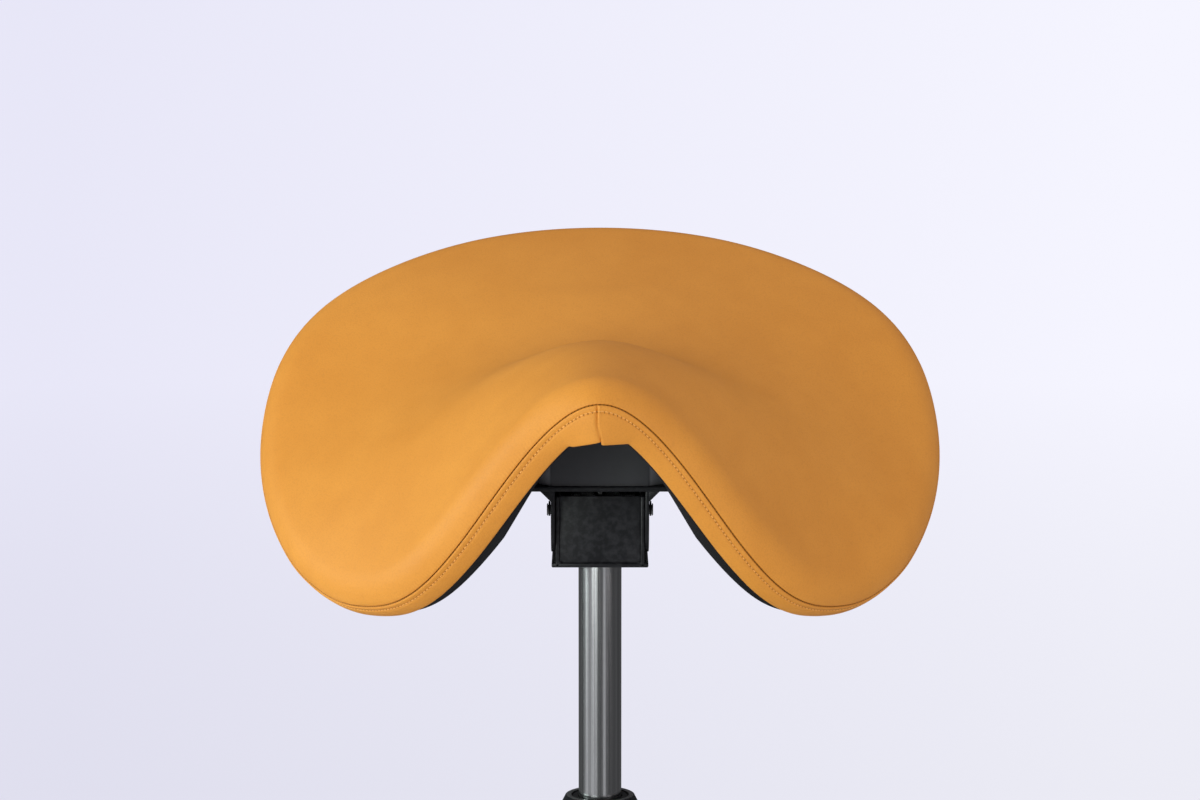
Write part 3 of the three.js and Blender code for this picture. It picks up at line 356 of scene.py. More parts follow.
LEATHER_GRAIN = leather_grain_group()
SEAM_MARKS = seam_marks_group()
SEAM_PITCH = 2.3
STITCH_PITCH = 3.0
STITCH_ROW = 4.0


# ---------------------------------------------------------------- Finishes

HIDE_TONES = ((0.645, 0.252, 0.029, 1), (0.70, 0.285, 0.036, 1))
VALLEY_TONE = (0.42, 0.15, 0.022, 1)
SEAM_TONE = (0.15, 0.045, 0.007, 1)
VALLEY_SHARE = 0.16
TOPSTITCH_SHARE = 0.7
CREASE_SHARE = 0.45
HOLE_SHARE = 0.9


def leather_material():
    material, tree, shader = new_material("tan_leather", 0.55, 0.0, 0.3)
    grain = place_group(tree, LEATHER_GRAIN, Pebbles_per_metre=900.0)
    seam = place_group(tree, SEAM_MARKS, Stitch_length=SEAM_PITCH, Row=0.0)
    topstitch = place_group(tree, SEAM_MARKS, Stitch_length=STITCH_PITCH, Row=STITCH_ROW)
    hide = mix_colour(tree, ramp(tree, grain["Tone"], 0.35, 0.65), *HIDE_TONES)
    low = maths(tree, "MULTIPLY", grain["Valley"], VALLEY_SHARE)
    valley = mix_colour(tree, low, hide, VALLEY_TONE)
    second = maths(tree, "MULTIPLY", topstitch["Holes"], TOPSTITCH_SHARE)
    holes = maths(tree, "MAXIMUM", seam["Holes"], second)
    crease = maths(tree, "MULTIPLY", seam["Crease"], CREASE_SHARE)
    shade = maths(tree, "MAXIMUM", crease, maths(tree, "MULTIPLY", holes, HOLE_SHARE))
    colour = mix_colour(tree, shade, valley, SEAM_TONE)
    link(tree, colour, shader.inputs["Base Color"])
    link(tree, ramp(tree, grain["Tone"], 0.3, 0.7, 0.5, 0.58), shader.inputs["Roughness"])
    height = maths(tree, "ADD", maths(tree, "MULTIPLY", grain["Height"], 0.06),
                   maths(tree, "MULTIPLY", seam["Pucker"], 0.5))
    dented = maths(tree, "SUBTRACT", height, maths(tree, "MULTIPLY", holes, 0.4))
    add_bump(tree, shader, dented, 1.0, 0.7)
    return material


def thread_material():
    material, tree, shader = new_material("tan_thread", 0.6, 0.0, 0.3)
    twist = noise_field(tree, object_place(tree), 1500.0, 2)
    colour = mix_colour(tree, ramp(tree, twist, 0.35, 0.65), (0.74, 0.35, 0.075, 1),
                        (0.88, 0.46, 0.12, 1))
    link(tree, colour, shader.inputs["Base Color"])
    add_bump(tree, shader, twist, 0.2)
    return material


def foam_material():
    material, tree, shader = new_material("moulded_foam", 0.95, 0.0, 0.1)
    place = object_place(tree)
    cells = add_node(tree, "ShaderNodeTexVoronoi", {"Vector": place, "Scale": 700.0})
    colour = mix_colour(tree, ramp(tree, cells.outputs["Distance"], 0.1, 0.7),
                        (0.42, 0.34, 0.18, 1), (0.72, 0.66, 0.46, 1))
    link(tree, colour, shader.inputs["Base Color"])
    add_bump(tree, shader, cells.outputs["Distance"], 0.6, 0.8)
    return material


def mottle_group():
    """Slow cloudy changes of tone and a fine skin, for paint, moulded plastic and castings."""
    tree, given, out = new_group("mottle", [("Skin per metre", 900.0), ("Cloud per metre", 14.0)],
                                 ["Skin", "Cloud"])
    place = object_place(tree)
    skin = add_node(tree, "ShaderNodeTexNoise", {"Vector": place, "Detail": 2.0, "Roughness": 0.55})
    link(tree, given["Skin per metre"], skin.inputs["Scale"])
    cloud = add_node(tree, "ShaderNodeTexNoise", {"Vector": place, "Detail": 4.0, "Roughness": 0.6})
    link(tree, given["Cloud per metre"], cloud.inputs["Scale"])
    link(tree, skin.outputs["Fac"], out["Skin"])
    link(tree, cloud.outputs["Fac"], out["Cloud"])
    return tree


def worn_edge_group():
    """A mask of the outer edges, broken up by noise, where a coat rubs thin."""
    tree, given, out = new_group("worn_edge", [("Breaks per metre", 300.0)], ["Wear"])
    place = object_place(tree)
    point = tree.nodes.new("ShaderNodeNewGeometry").outputs["Pointiness"]
    breaks = add_node(tree, "ShaderNodeTexNoise", {"Vector": place, "Detail": 3.0})
    link(tree, given["Breaks per metre"], breaks.inputs["Scale"])
    edge = ramp(tree, point, 0.52, 0.6)
    link(tree, maths(tree, "MULTIPLY", edge, ramp(tree, breaks.outputs["Fac"], 0.4, 0.65)),
         out["Wear"])
    return tree


BAND_SHRINK = (0.13, 0.13, 0.13)


def brushed_group():
    """Fine lines drawn out along one way: the lines are close across it and long along it."""
    tree, given, out = new_group("brushed_lines", [("Across per metre", (2400.0, 2400.0, 6.0))],
                                 ["Lines", "Bands"])
    place = object_place(tree)
    drawn = add_node(tree, "ShaderNodeVectorMath", {0: place}, operation="MULTIPLY")
    link(tree, given["Across per metre"], drawn.inputs[1])
    lines = add_node(tree, "ShaderNodeTexNoise",
                     {"Vector": drawn.outputs["Vector"], "Scale": 1.0, "Detail": 3.0,
                      "Roughness": 0.65})
    wide = add_node(tree, "ShaderNodeVectorMath",
                    {0: drawn.outputs["Vector"], 1: BAND_SHRINK}, operation="MULTIPLY")
    bands = add_node(tree, "ShaderNodeTexNoise",
                     {"Vector": wide.outputs["Vector"], "Scale": 1.0, "Detail": 2.0})
    link(tree, lines.outputs["Fac"], out["Lines"])
    link(tree, bands.outputs["Fac"], out["Bands"])
    return tree


MOTTLE = mottle_group()
WORN_EDGE = worn_edge_group()
BRUSHED = brushed_group()
CLOUD_RANGE = (0.3, 0.7)


def cloudy_colour(tree, coat, dark, light):
    return mix_colour(tree, ramp(tree, coat["Cloud"], *CLOUD_RANGE), (*dark, 1), (*light, 1))


def mottled_material(name, finish, scales, tones, gloss, skin, wear=None):
    """Paint, moulded plastic or plain metal: a cloudy tone, gloss that follows the cloud or the
    skin, and a fine skin.

    finish: roughness, metallic, specular level; scales: skin and cloud per metre; tones: dark and
    light; gloss: what it follows and its range; skin: depth in millimetres and strength; wear: the
    breaks per metre on rubbed edges, their share and their colour."""
    material, tree, shader = new_material(name, *finish)
    coat = place_group(tree, MOTTLE, Skin_per_metre=scales[0], Cloud_per_metre=scales[1])
    colour = cloudy_colour(tree, coat, *tones)
    if wear:
        rubbed = place_group(tree, WORN_EDGE, Breaks_per_metre=wear[0])
        share = maths(tree, "MULTIPLY", rubbed["Wear"], wear[1])
        colour = mix_colour(tree, share, colour, (*wear[2], 1))
    follows, low, high = gloss
    link(tree, colour, shader.inputs["Base Color"])
    link(tree, ramp(tree, coat[follows], *CLOUD_RANGE, low, high), shader.inputs["Roughness"])
    add_bump(tree, shader, coat["Skin"], *skin)
    return material


# Where the pedestal's front shoulders get painted light, and the paler grey painted on them.
SHOULDER_X = (0.0310, 0.0322)
SHOULDER_Y = (-0.0385, -0.0375)
SHOULDER_PAINTED_LIGHT = (0.15, 0.15, 0.16, 1)


def pedestal_material():
    """The same plastic, left rough where it was cut from its mould, and greyer. Its front
    shoulders carry painted light: a paler grey where they lie in shade."""
    material, tree, shader = new_material("rough_moulded_black", 0.6, 0.0, 0.45)
    skin = place_group(tree, MOTTLE, Skin_per_metre=1500.0, Cloud_per_metre=20.0)
    split = add_node(tree, "ShaderNodeSeparateXYZ", {"Vector": object_place(tree)})
    beside = ramp(tree, maths(tree, "ABSOLUTE", split.outputs["X"]), *SHOULDER_X)
    ahead = ramp(tree, split.outputs["Y"], *SHOULDER_Y, 1.0, 0.0)
    front = cloudy_colour(tree, skin, (0.042, 0.043, 0.047), (0.052, 0.053, 0.058))
    # Painted light: the front shoulders lie in shade and are made a paler grey.
    colour = mix_colour(tree, maths(tree, "MULTIPLY", beside, ahead), front, SHOULDER_PAINTED_LIGHT)
    link(tree, colour, shader.inputs["Base Color"])
    add_bump(tree, shader, skin["Skin"], 0.08, 0.6)
    return material


def brushed_steel_material():
    material, tree, shader = new_material("brushed_steel_tube", 0.26, 1.0, 0.5)
    shader.inputs["Anisotropic"].default_value = 0.5
    lines = place_group(tree, BRUSHED)
    tone = maths(tree, "ADD", maths(tree, "MULTIPLY", lines["Lines"], 0.4),
                 maths(tree, "MULTIPLY", lines["Bands"], 0.6))
    colour = mix_colour(tree, ramp(tree, tone, 0.35, 0.65), (0.30, 0.30, 0.31, 1),
                        (0.62, 0.62, 0.63, 1))
    link(tree, colour, shader.inputs["Base Color"])
    link(tree, ramp(tree, lines["Lines"], 0.3, 0.7, 0.15, 0.27), shader.inputs["Roughness"])
    add_bump(tree, shader, lines["Lines"], 0.02, 0.5)
    return material


def cut_metal_material():
    """The machined ring on top of the column: turned grooves and a speckle of dust."""
    material, tree, shader = new_material("machined_ring", 0.35, 0.9, 0.5)
    place = object_place(tree)
    split = add_node(tree, "ShaderNodeSeparateXYZ", {"Vector": place})
    reach = maths(tree, "SQRT", maths(tree, "ADD", maths(tree, "POWER", split.outputs["X"], 2.0),
                                      maths(tree, "POWER", split.outputs["Y"], 2.0)))
    grooves = maths(tree, "SINE", maths(tree, "MULTIPLY", reach, 2 * math.pi / (0.35 * MM)))
    speckle = noise_field(tree, place, 1600.0, 3)
    colour = mix_colour(tree, ramp(tree, speckle, 0.4, 0.62), (0.22, 0.22, 0.23, 1),
                        (0.5, 0.5, 0.51, 1))
    link(tree, colour, shader.inputs["Base Color"])
    link(tree, ramp(tree, speckle, 0.35, 0.65, 0.3, 0.5), shader.inputs["Roughness"])
    add_bump(tree, shader, grooves, 0.02, 0.4)
    return material


BLACK_PAINT = mottled_material(
    "black_paint", (0.34, 0.0, 0.44), (700.0, 16.0),
    ((0.0085, 0.009, 0.0115), (0.0092, 0.0097, 0.0122)), ("Cloud", 0.343, 0.349), (0.012, 0.5),
    (320.0, 0.35, (0.06, 0.06, 0.066)))
MOULDED_BLACK = mottled_material(
    "moulded_black", (0.55, 0.0, 0.36), (2200.0, 12.0),
    ((0.007, 0.0075, 0.009), (0.011, 0.0115, 0.0135)), ("Skin", 0.48, 0.64), (0.12, 0.7))
PEDESTAL_SKIN = pedestal_material()
BRUSHED_STEEL = brushed_steel_material()
PLATED_STEEL = mottled_material(
    "plated_steel", (0.2, 1.0, 0.5), (1500.0, 40.0),
    ((0.50, 0.50, 0.51), (0.64, 0.64, 0.65)), ("Cloud", 0.16, 0.3), (0.01, 0.5))
CAST_ALUMINIUM = mottled_material(
    "satin_cast_aluminium", (0.32, 1.0, 0.5), (1100.0, 10.0),
    ((0.50, 0.51, 0.53), (0.60, 0.61, 0.63)), ("Cloud", 0.28, 0.4), (0.05, 0.5),
    (200.0, 0.4, (0.78, 0.78, 0.79)))
TREAD = mottled_material(
    "grey_tread", (0.7, 0.0, 0.35), (900.0, 30.0),
    ((0.085, 0.087, 0.092), (0.12, 0.122, 0.128)), ("Skin", 0.62, 0.78), (0.08, 0.6))
BEARING = mottled_material(
    "bearing_plastic", (0.4, 0.0, 0.5), (1300.0, 25.0),
    ((0.011, 0.011, 0.013), (0.02, 0.02, 0.023)), ("Skin", 0.34, 0.46), (0.04, 0.5))
CUT_METAL = cut_metal_material()
LEATHER = leather_material()
THREAD = thread_material()
FOAM = foam_material()


# ---------------------------------------------------------------- Modelling helpers

def deselect():
    if bpy.context.object and bpy.context.object.mode != "OBJECT":
        bpy.ops.object.mode_set(mode="OBJECT")
    bpy.ops.object.select_all(action="DESELECT")


def take(piece):
    """Makes a piece the only selected one."""
    deselect()
    piece.select_set(True)
    bpy.context.view_layer.objects.active = piece


def edit_all():
    bpy.ops.object.mode_set(mode="EDIT")
    bpy.ops.mesh.select_all(action="SELECT")


def mend_mesh(merge=0.0):
    """Merges the corners of the piece in hand that lie together, and turns its faces outwards."""
    edit_all()
    if merge:
        bpy.ops.mesh.remove_doubles(threshold=merge)
    bpy.ops.mesh.normals_make_consistent(inside=False)
    bpy.ops.object.mode_set(mode="OBJECT")


def copy_of(piece):
    copy = piece.copy()
    copy.data = piece.data.copy()
    scene.collection.objects.link(copy)
    return copy


def apply_modifier(piece, kind, **settings):
    modifier = piece.modifiers.new(kind.lower(), kind)
    for key, value in settings.items():
        setattr(modifier, key, value)
    bpy.context.view_layer.objects.active = piece
    bpy.ops.object.modifier_apply(modifier=modifier.name)


def finish_piece(piece, name, material, body, nodes=(), smooth_angle=35):
    """Names a piece, gives its bare faces the material, and says which body it rides and the nodes
    that it replaces."""
    take(piece)
    bpy.ops.object.transform_apply(location=True, rotation=True, scale=True)
    bpy.ops.object.shade_smooth_by_angle(angle=math.radians(smooth_angle))
    piece.name = name
    piece.data.name = name
    if not piece.data.materials:
        piece.data.materials.append(material)
    for index, held in enumerate(piece.data.materials):
        if held is None:
            piece.data.materials[index] = material
    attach(piece, body)
    if nodes:
        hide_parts(*nodes)
    piece.select_set(False)
    return piece


def lofted(rings, wrap_rows=False, marks=None):
    """A closed skin over rings of places: a grid is added and each corner is laid on its ring.
    marks names the ring that follows the seam and holds each ring's way off it, for the UV map."""
    deselect()
    columns = len(rings[0])
    laid = [ring + ring[:1] for ring in (rings + rings[:1] if wrap_rows else rings)]
    bpy.ops.mesh.primitive_grid_add(x_subdivisions=columns, y_subdivisions=len(laid) - 1, size=1)
    piece = bpy.context.object
    width = columns + 1
    for vertex in piece.data.vertices:
        vertex.co = laid[vertex.index // width][vertex.index % width] * MM
    if marks:
        along = [0.0]
        seam_ring = laid[marks["ring"]]
        for before, after in zip(seam_ring, seam_ring[1:]):
            along.append(along[-1] + (after - before).length)
        uv = piece.data.uv_layers.active.data
        for loop in piece.data.loops:
            row, column = divmod(loop.vertex_index, width)
            uv[loop.index].uv = (along[column], marks["off"][row])
    mend_mesh(0.01 * MM)
    return piece


TINY = 0.001


def span(node):
    """Lowest and highest corner of a node of the frame, in millimetres."""
    low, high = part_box(node)
    return low / MM, high / MM


def turned(profile, sides=64, bevel=0.0, bevel_steps=3, closed=False):
    """A piece turned round Z. A circle is added at the first (radius, height), then extruded and
    sized to each next one. A radius of 0 closes the piece there, and closed joins the last place
    to the first."""
    deselect()
    places = [(max(radius, TINY), height) for radius, height in profile]
    if closed:
        places.append(places[0])
    radius, height = places[0]
    bpy.ops.mesh.primitive_circle_add(vertices=sides, radius=radius * MM,
                                      location=(0, 0, height * MM))
    piece = bpy.context.object
    bpy.ops.object.transform_apply(location=True)
    edit_all()
    for next_radius, next_height in places[1:]:
        rise = (next_height - height) * MM
        grow = next_radius / radius
        bpy.ops.mesh.extrude_edges_move(TRANSFORM_OT_translate={"value": (0, 0, rise)})
        bpy.ops.transform.resize(value=(grow, grow, 1), center_override=(0, 0, next_height * MM))
        radius, height = next_radius, next_height
    bpy.ops.mesh.select_all(action="SELECT")
    bpy.ops.mesh.remove_doubles(threshold=3 * TINY * MM)
    bpy.ops.mesh.delete_loose(use_faces=False)
    mend_mesh()
    if bevel:
        soften(piece, bevel, bevel_steps)
    return piece


def sleeve(bore, radius, start, end, sides=40, bevel=0.3, steps=2):
    profile = [(bore, start), (radius, start), (radius, end), (bore, end)]
    return turned(profile, sides, bevel, steps, closed=True)


def hex_ring(radius, bore, start, end):
    return sleeve(bore, radius, start, end, 6, 0.5)


def disc(radius, start, end, sides=24):
    return turned([(0, start), (radius, start), (radius, end), (0, end)], sides)


def chamfered_disc(radius, start, end, chamfer=0.4, sides=32):
    return turned([(0, start), (radius - chamfer, start), (radius, start + chamfer),
                   (radius, end - chamfer), (radius - chamfer, end), (0, end)], sides)


def soften(piece, width, steps=3, angle=30):
    apply_modifier(piece, "BEVEL", width=width * MM, segments=steps, limit_method="ANGLE",
                   angle_limit=math.radians(angle), harden_normals=False)


def set_at(piece, place, turn=(0, 0, 0)):
    """Turns a piece by degrees about X, Y and Z, and puts it at a place in millimetres."""
    take(piece)
    piece.rotation_euler = [math.radians(angle) for angle in turn]
    piece.location = Vector(place) * MM
    bpy.ops.object.transform_apply(location=True, rotation=True, scale=True)
    return piece


def along_x(piece, place=(0, 0, 0)):
    return set_at(piece, place, (0, 90, 0))


def block(low, high, bevel=0.0, steps=3):
    """A cube that is added between two corners in millimetres, with its edges softened."""
    deselect()
    low, high = Vector(low), Vector(high)
    bpy.ops.mesh.primitive_cube_add(size=1, location=(low + high) / 2 * MM)
    piece = bpy.context.object
    piece.scale = (high - low) * MM
    bpy.ops.object.transform_apply(location=True, rotation=True, scale=True)
    if bevel:
        soften(piece, bevel, steps)
    return piece


def prism(outline, start, end, axis="X", bevel=0.0, steps=2):
    """A plate from an outline: a circle of as many corners is added, laid on the outline, and
    extruded from start to end. The outline is in Y and Z for axis X, and in X and Y for axis Z."""
    deselect()
    bpy.ops.mesh.primitive_circle_add(vertices=len(outline), radius=1, fill_type="NGON")
    piece = bpy.context.object
    for vertex, (u, v) in zip(piece.data.vertices, outline):
        vertex.co = Vector((start, u, v) if axis == "X" else (u, v, start)) * MM
    way = (end - start) * MM
    edit_all()
    bpy.ops.mesh.extrude_region_move(
        TRANSFORM_OT_translate={"value": (way, 0, 0) if axis == "X" else (0, 0, way)})
    mend_mesh()
    if bevel:
        soften(piece, bevel, steps)
    return piece


def arc(centre, radius, start, end, steps):
    """Places on an arc, by degrees, in the plane of an outline."""
    turns = [math.radians(start + (end - start) * i / steps) for i in range(steps + 1)]
    return [(centre[0] + radius * math.cos(turn),
             centre[1] + radius * math.sin(turn)) for turn in turns]


def rounded_outline(half_width, front, rear, radius):
    """A rectangle with rounded corners, seen from above."""
    outline = []
    for x, y, start in ((half_width - radius, front + radius, 270),
                        (half_width - radius, rear - radius, 0),
                        (radius - half_width, rear - radius, 90),
                        (radius - half_width, front + radius, 180)):
        outline += arc((x, y), radius, start, start + 90, 8)
    return outline


def smooth_line(points, steps=8):
    """A smooth line through places, evenly curved whatever their spacing."""
    points = [Vector(point) for point in points]
    ends = [2 * points[0] - points[1], *points, 2 * points[-1] - points[-2]]
    line = []
    for before, start, end, after in zip(ends, ends[1:], ends[2:], ends[3:]):
        knots = [0.0]
        for p, q in ((before, start), (start, end), (end, after)):
            knots.append(knots[-1] + math.sqrt((q - p).length))
        for step in range(steps):
            t = knots[1] + (knots[2] - knots[1]) * step / steps

            def between(p, q, low, high):
                return p.lerp(q, (t - knots[low]) / (knots[high] - knots[low]))

            near = [between(before, start, 0, 1), between(start, end, 1, 2),
                    between(end, after, 2, 3)]
            pair = [between(near[0], near[1], 0, 2), between(near[1], near[2], 1, 3)]
            line.append(between(pair[0], pair[1], 1, 2))
    return line + [points[-1]]


def bent_rod(points, radius, sides=20):
    """A round rod along a smooth line: a curve with a round section, made a closed mesh."""
    deselect()
    line = smooth_line(points)
    data = bpy.data.curves.new("rod", "CURVE")
    data.dimensions = "3D"
    spline = data.splines.new("POLY")
    spline.points.add(len(line) - 1)
    for target, place in zip(spline.points, line):
        target.co = (*(place * MM), 1)
    data.bevel_depth = radius * MM
    data.bevel_resolution = sides // 4 - 1
    data.use_fill_caps = True
    rod = bpy.data.objects.new("rod", data)
    scene.collection.objects.link(rod)
    rod.select_set(True)
    bpy.context.view_layer.objects.active = rod
    bpy.ops.object.convert(target="MESH")
    rod = bpy.context.object
    mend_mesh(0.001 * MM)
    return rod


def joined(pieces):
    deselect()
    for piece in pieces:
        piece.select_set(True)
    bpy.context.view_layer.objects.active = pieces[0]
    bpy.ops.object.join()
    return bpy.context.object


# ---------------------------------------------------------------- Saddle form

SADDLE_LEVEL = 626
HALF_WIDTH = 211
LENGTH = 330
FRONT = -160
RISE = 59
EDGE_RADIUS = 22
LEATHER_THICKNESS = 2
SEAM_ANGLE = 65
UNDER_ANGLE = 105
ARCH_FLAT = -37
GAP = 0.3
FOAM_GAP = 0.6
PAN_GAP = 0.5
PAN_THICKNESS = 5.5
PAN_RIM_INSET = 3.3
PAN_SKIRT = 6
SKIRT_START = -38
SKIRT_FADE = 40
COLUMNS = 480
JOINT_COLUMNS = 13
JOINT_STEP = 0.0004
OUTLINE_X_SHARES = (0, 0.216, 0.482, 0.688, 0.922, 1, 0.843, 0.46, 0)
OUTLINE_Y_SHARES = (0, 0.03, 0.092, 0.2, 0.403, 0.645, 0.838, 0.961, 1)
RIDGE_HEIGHT_SHARES = (0.04, 0.22, 0.01, 0.47, 0.99)
FLANK_SLOPE_SHARES = (3.59, 2.21, 1.19, 0.43, 0.27)
RIDGE_ROUND_SHARES = (0.64, 0.77, 1.085, 0.66, 1.065)


def smooth_between(before, start, end, after, share):
    """A place on the smooth curve through four values, from start at 0 to end at 1."""
    leave, arrive = (end - before) / 2, (after - start) / 2
    bend = 3 * (end - start) - 2 * leave - arrive
    cube = 2 * (start - end) + leave + arrive
    return (cube * share + bend) * share * share + leave * share + start


def along_length(values, share):
    spans = len(values) - 1
    place = share * spans
    index = min(max(math.floor(place), 0), spans - 1)
    before = values[index - 1] if index else 2 * values[0] - values[1]
    after = values[index + 2] if index + 2 <= spans else 2 * values[-1] - values[-2]
    return smooth_between(before, values[index], values[index + 1], after, place - index)


def skin_height(x, y):
    share = (y - FRONT) / LENGTH
    crest = along_length(RIDGE_HEIGHT_SHARES, share) * RISE
    slope = along_length(FLANK_SLOPE_SHARES, share)
    roundness = along_length(RIDGE_ROUND_SHARES, share) * HALF_WIDTH
    return crest - slope * (math.hypot(x, roundness) - roundness)


def skin_normal(x, y, step=0.5):
    fall_x = (skin_height(x - step, y) - skin_height(x + step, y)) / (2 * step)
    fall_y = (skin_height(x, y - step) - skin_height(x, y + step)) / (2 * step)
    return Vector((fall_x, fall_y, 1)).normalized()


def outline_place(turn):
    """The plan outline from the front centre, through +X, round to the front centre again."""
    half = [Vector((x * HALF_WIDTH, FRONT + y * LENGTH)) for x, y in zip(OUTLINE_X_SHARES,
                                                                         OUTLINE_Y_SHARES)]
    points = half + [Vector((-p.x, p.y)) for p in reversed(half[1:-1])]
    place = (turn % 1) * len(points)
    index = int(place)
    near = [points[(index + step) % len(points)] for step in (-1, 0, 1, 2)]
    return smooth_between(*near, place - index)


def on_skin(plan):
    return Vector((plan.x, plan.y, skin_height(plan.x, plan.y)))


def edge_places():
    """Edge places of the skin, each with its normal and the way outwards along the skin. Near
    the joint at the front they lie closer."""
    close = [JOINT_STEP * share for share in range(1 - JOINT_COLUMNS, JOINT_COLUMNS)]
    even = [i / COLUMNS for i in range(COLUMNS)]
    spacing = JOINT_STEP * JOINT_COLUMNS
    turns = sorted(set([t % 1 for t in close] + [t for t in even if spacing <= t <= 1 - spacing]))
    places = []
    for turn in turns:
        plan = outline_place(turn)
        normal = skin_normal(plan.x, plan.y)
        tangent = on_skin(outline_place(turn + 0.0005)) - on_skin(outline_place(turn - 0.0005))
        places.append((on_skin(plan), normal, tangent.cross(normal).normalized()))
    return places


EDGE = edge_places()
MIDDLE = Vector((0, FRONT + LENGTH / 2))
LIFT = Vector((0, 0, SADDLE_LEVEL))


def skin_ring(share, depth):
    ring = []
    for place, _, _ in EDGE:
        plan = MIDDLE.lerp(place.xy, share)
        ring.append(on_skin(plan) - skin_normal(plan.x, plan.y) * depth + LIFT)
    return ring


def roll_ring(angle, radius):
    """A ring at an angle round the rolled edge: 0 is the skin itself, 90 faces outwards."""
    across, out = radius * math.cos(math.radians(angle)), radius * math.sin(math.radians(angle))
    return [place + normal * (across - EDGE_RADIUS) + outward * out + LIFT
            for place, normal, outward in EDGE]


def skirt_share(height):
    """0 at the top of the arch, 1 down the flanks, where the rim of the pan hangs deepest."""
    return min(max((SKIRT_START - height) / SKIRT_FADE, 0), 1)


def rim_ring(depth, reach, skirt=0):
    return [place - normal * (depth + skirt * skirt_share(place.z)) + outward * reach + LIFT
            for place, normal, outward in EDGE]


# ---------------------------------------------------------------- Saddle pieces

TOP_STEPS = 44
FOAM_STEPS = 20
PAN_STEPS = 24
TOP_SHARES = [i / TOP_STEPS for i in range(TOP_STEPS + 1)]
TOP_ROLL = [(angle, EDGE_RADIUS) for angle in (6, 12, 18, 24, 30, 36, 42, 47, 51, 54.5, 57.5, 60)]
TOP_ROLL += [(61.5, 21.98), (62.8, 21.9), (63.7, 21.75), (64.3, 21.5), (64.7, 21.1), (64.9, 20.6)]
BAND_ROLL = [(65.1, 20.6), (65.3, 21.2), (65.7, 21.75), (66.3, 22.15), (67.2, 22.45), (68.4, 22.52),
             (70, 22.42), (72, 22.2), (73.4, 22.0), (74.5, 21.72), (75.4, 21.6), (76.3, 21.72),
             (77.4, 22.0), (79, 22.12), (82, 22.15), (86, 22.1), (91, 22.1), (96, 22.05),
             (100, 22.0), (103, 21.95), (105.2, 21.87), (106.8, 21.5), (107.9, 21.0), (108.9, 20.1),
             (110.1, 18.7), (110.8, 17.8), (110.2, 17.3), (108.7, 17.2), (107.3, 18.0),
             (105.9, 19.35), (104.6, 19.95), (103, 20), (100, 20), (93, 20), (85, 20), (77, 20),
             (70, 20), (66, 20)]
JOINT_TOP = -1.8
JOINT_FOOT = 0.8
JOINT_KINK = (92, 105)
JOINT_GROOVE = (1.0, 0.6)
JOINT_LAP = (0.35, 0.9)
JOINT_LAP_ASIDE = 1.5
HEM_LEFT = (1.7, 4.4, 17)
HEM_RIGHT = (-0.2, 1, 20)
SEAM_REACH = 9.0
OUTSIDE_DEPTH = 1.2
STITCH_SUNK = 0.15
STITCH_ANGLE = SEAM_ANGLE + math.degrees(STITCH_ROW / EDGE_RADIUS)
STITCH_LENGTH = 2.3
STITCH_RADIUS = 0.38


def joint_dent(place, angle):
    """How deep the joint in the band lies at a place on its front. It runs upright at first and
    then aside to the hem: a narrow groove, and the raised edge of the leather that laps over."""
    if place.y > FRONT + LENGTH / 4:
        return 0
    low, high = JOINT_KINK
    middle = JOINT_TOP + (JOINT_FOOT - JOINT_TOP) * min(max((angle - low) / (high - low), 0), 1)
    aside = place.x - middle
    groove, groove_width = JOINT_GROOVE
    lap, lap_width = JOINT_LAP
    return (groove * math.exp(-(aside / groove_width) ** 2)
            - lap * math.exp(-((aside - JOINT_LAP_ASIDE) / lap_width) ** 2))


def hem_level(x):
    """Where the hem lies under the arch: it rises to the joint from the left, and steps down on
    the right."""
    aside = x - JOINT_FOOT
    start, fall, reach = HEM_LEFT if aside < 0 else HEM_RIGHT
    return SADDLE_LEVEL + ARCH_FLAT + start - fall * min(abs(aside) / reach, 1)


def add_leather_top():
    step = EDGE_RADIUS * math.pi / 180
    rings = [skin_ring(share, 0) for share in TOP_SHARES]
    rings += [roll_ring(angle, radius) for angle, radius in TOP_ROLL]
    rim = len(rings) - 1
    off = [-SEAM_REACH] * len(TOP_SHARES)
    off += [max((angle - SEAM_ANGLE) * step, -SEAM_REACH) for angle, _ in TOP_ROLL]
    piece = lofted(rings, marks={"ring": rim, "off": off})
    apply_modifier(piece, "SOLIDIFY", thickness=(LEATHER_THICKNESS - 0.2) * MM, offset=-1)
    finish_piece(piece, "leather_top_panel", LEATHER, "seat", ["leather_top"], 60)


def add_leather_band():
    under = roll_ring(UNDER_ANGLE, EDGE_RADIUS)
    rings = []
    for angle, radius in BAND_ROLL:
        share = min(max((angle - SEAM_ANGLE) / (UNDER_ANGLE - SEAM_ANGLE), 0), 1)
        ring = []
        for index, place in enumerate(roll_ring(angle, radius)):
            hem = under[index]
            level = hem_level(hem.x)
            if hem.y < FRONT and hem.z > level:
                place.z += (level - hem.z) * share ** 2
            if radius > EDGE_RADIUS - OUTSIDE_DEPTH:
                place -= EDGE[index][2] * joint_dent(place, angle)
            ring.append(place)
        rings.append(ring)
    step = EDGE_RADIUS * math.pi / 180
    off = [min((angle - SEAM_ANGLE) * step, SEAM_REACH) for angle, _ in BAND_ROLL] + [0.3]
    piece = lofted(rings, wrap_rows=True, marks={"ring": 0, "off": off})
    finish_piece(piece, "leather_side_band", LEATHER, "seat", ["leather_band"], 60)


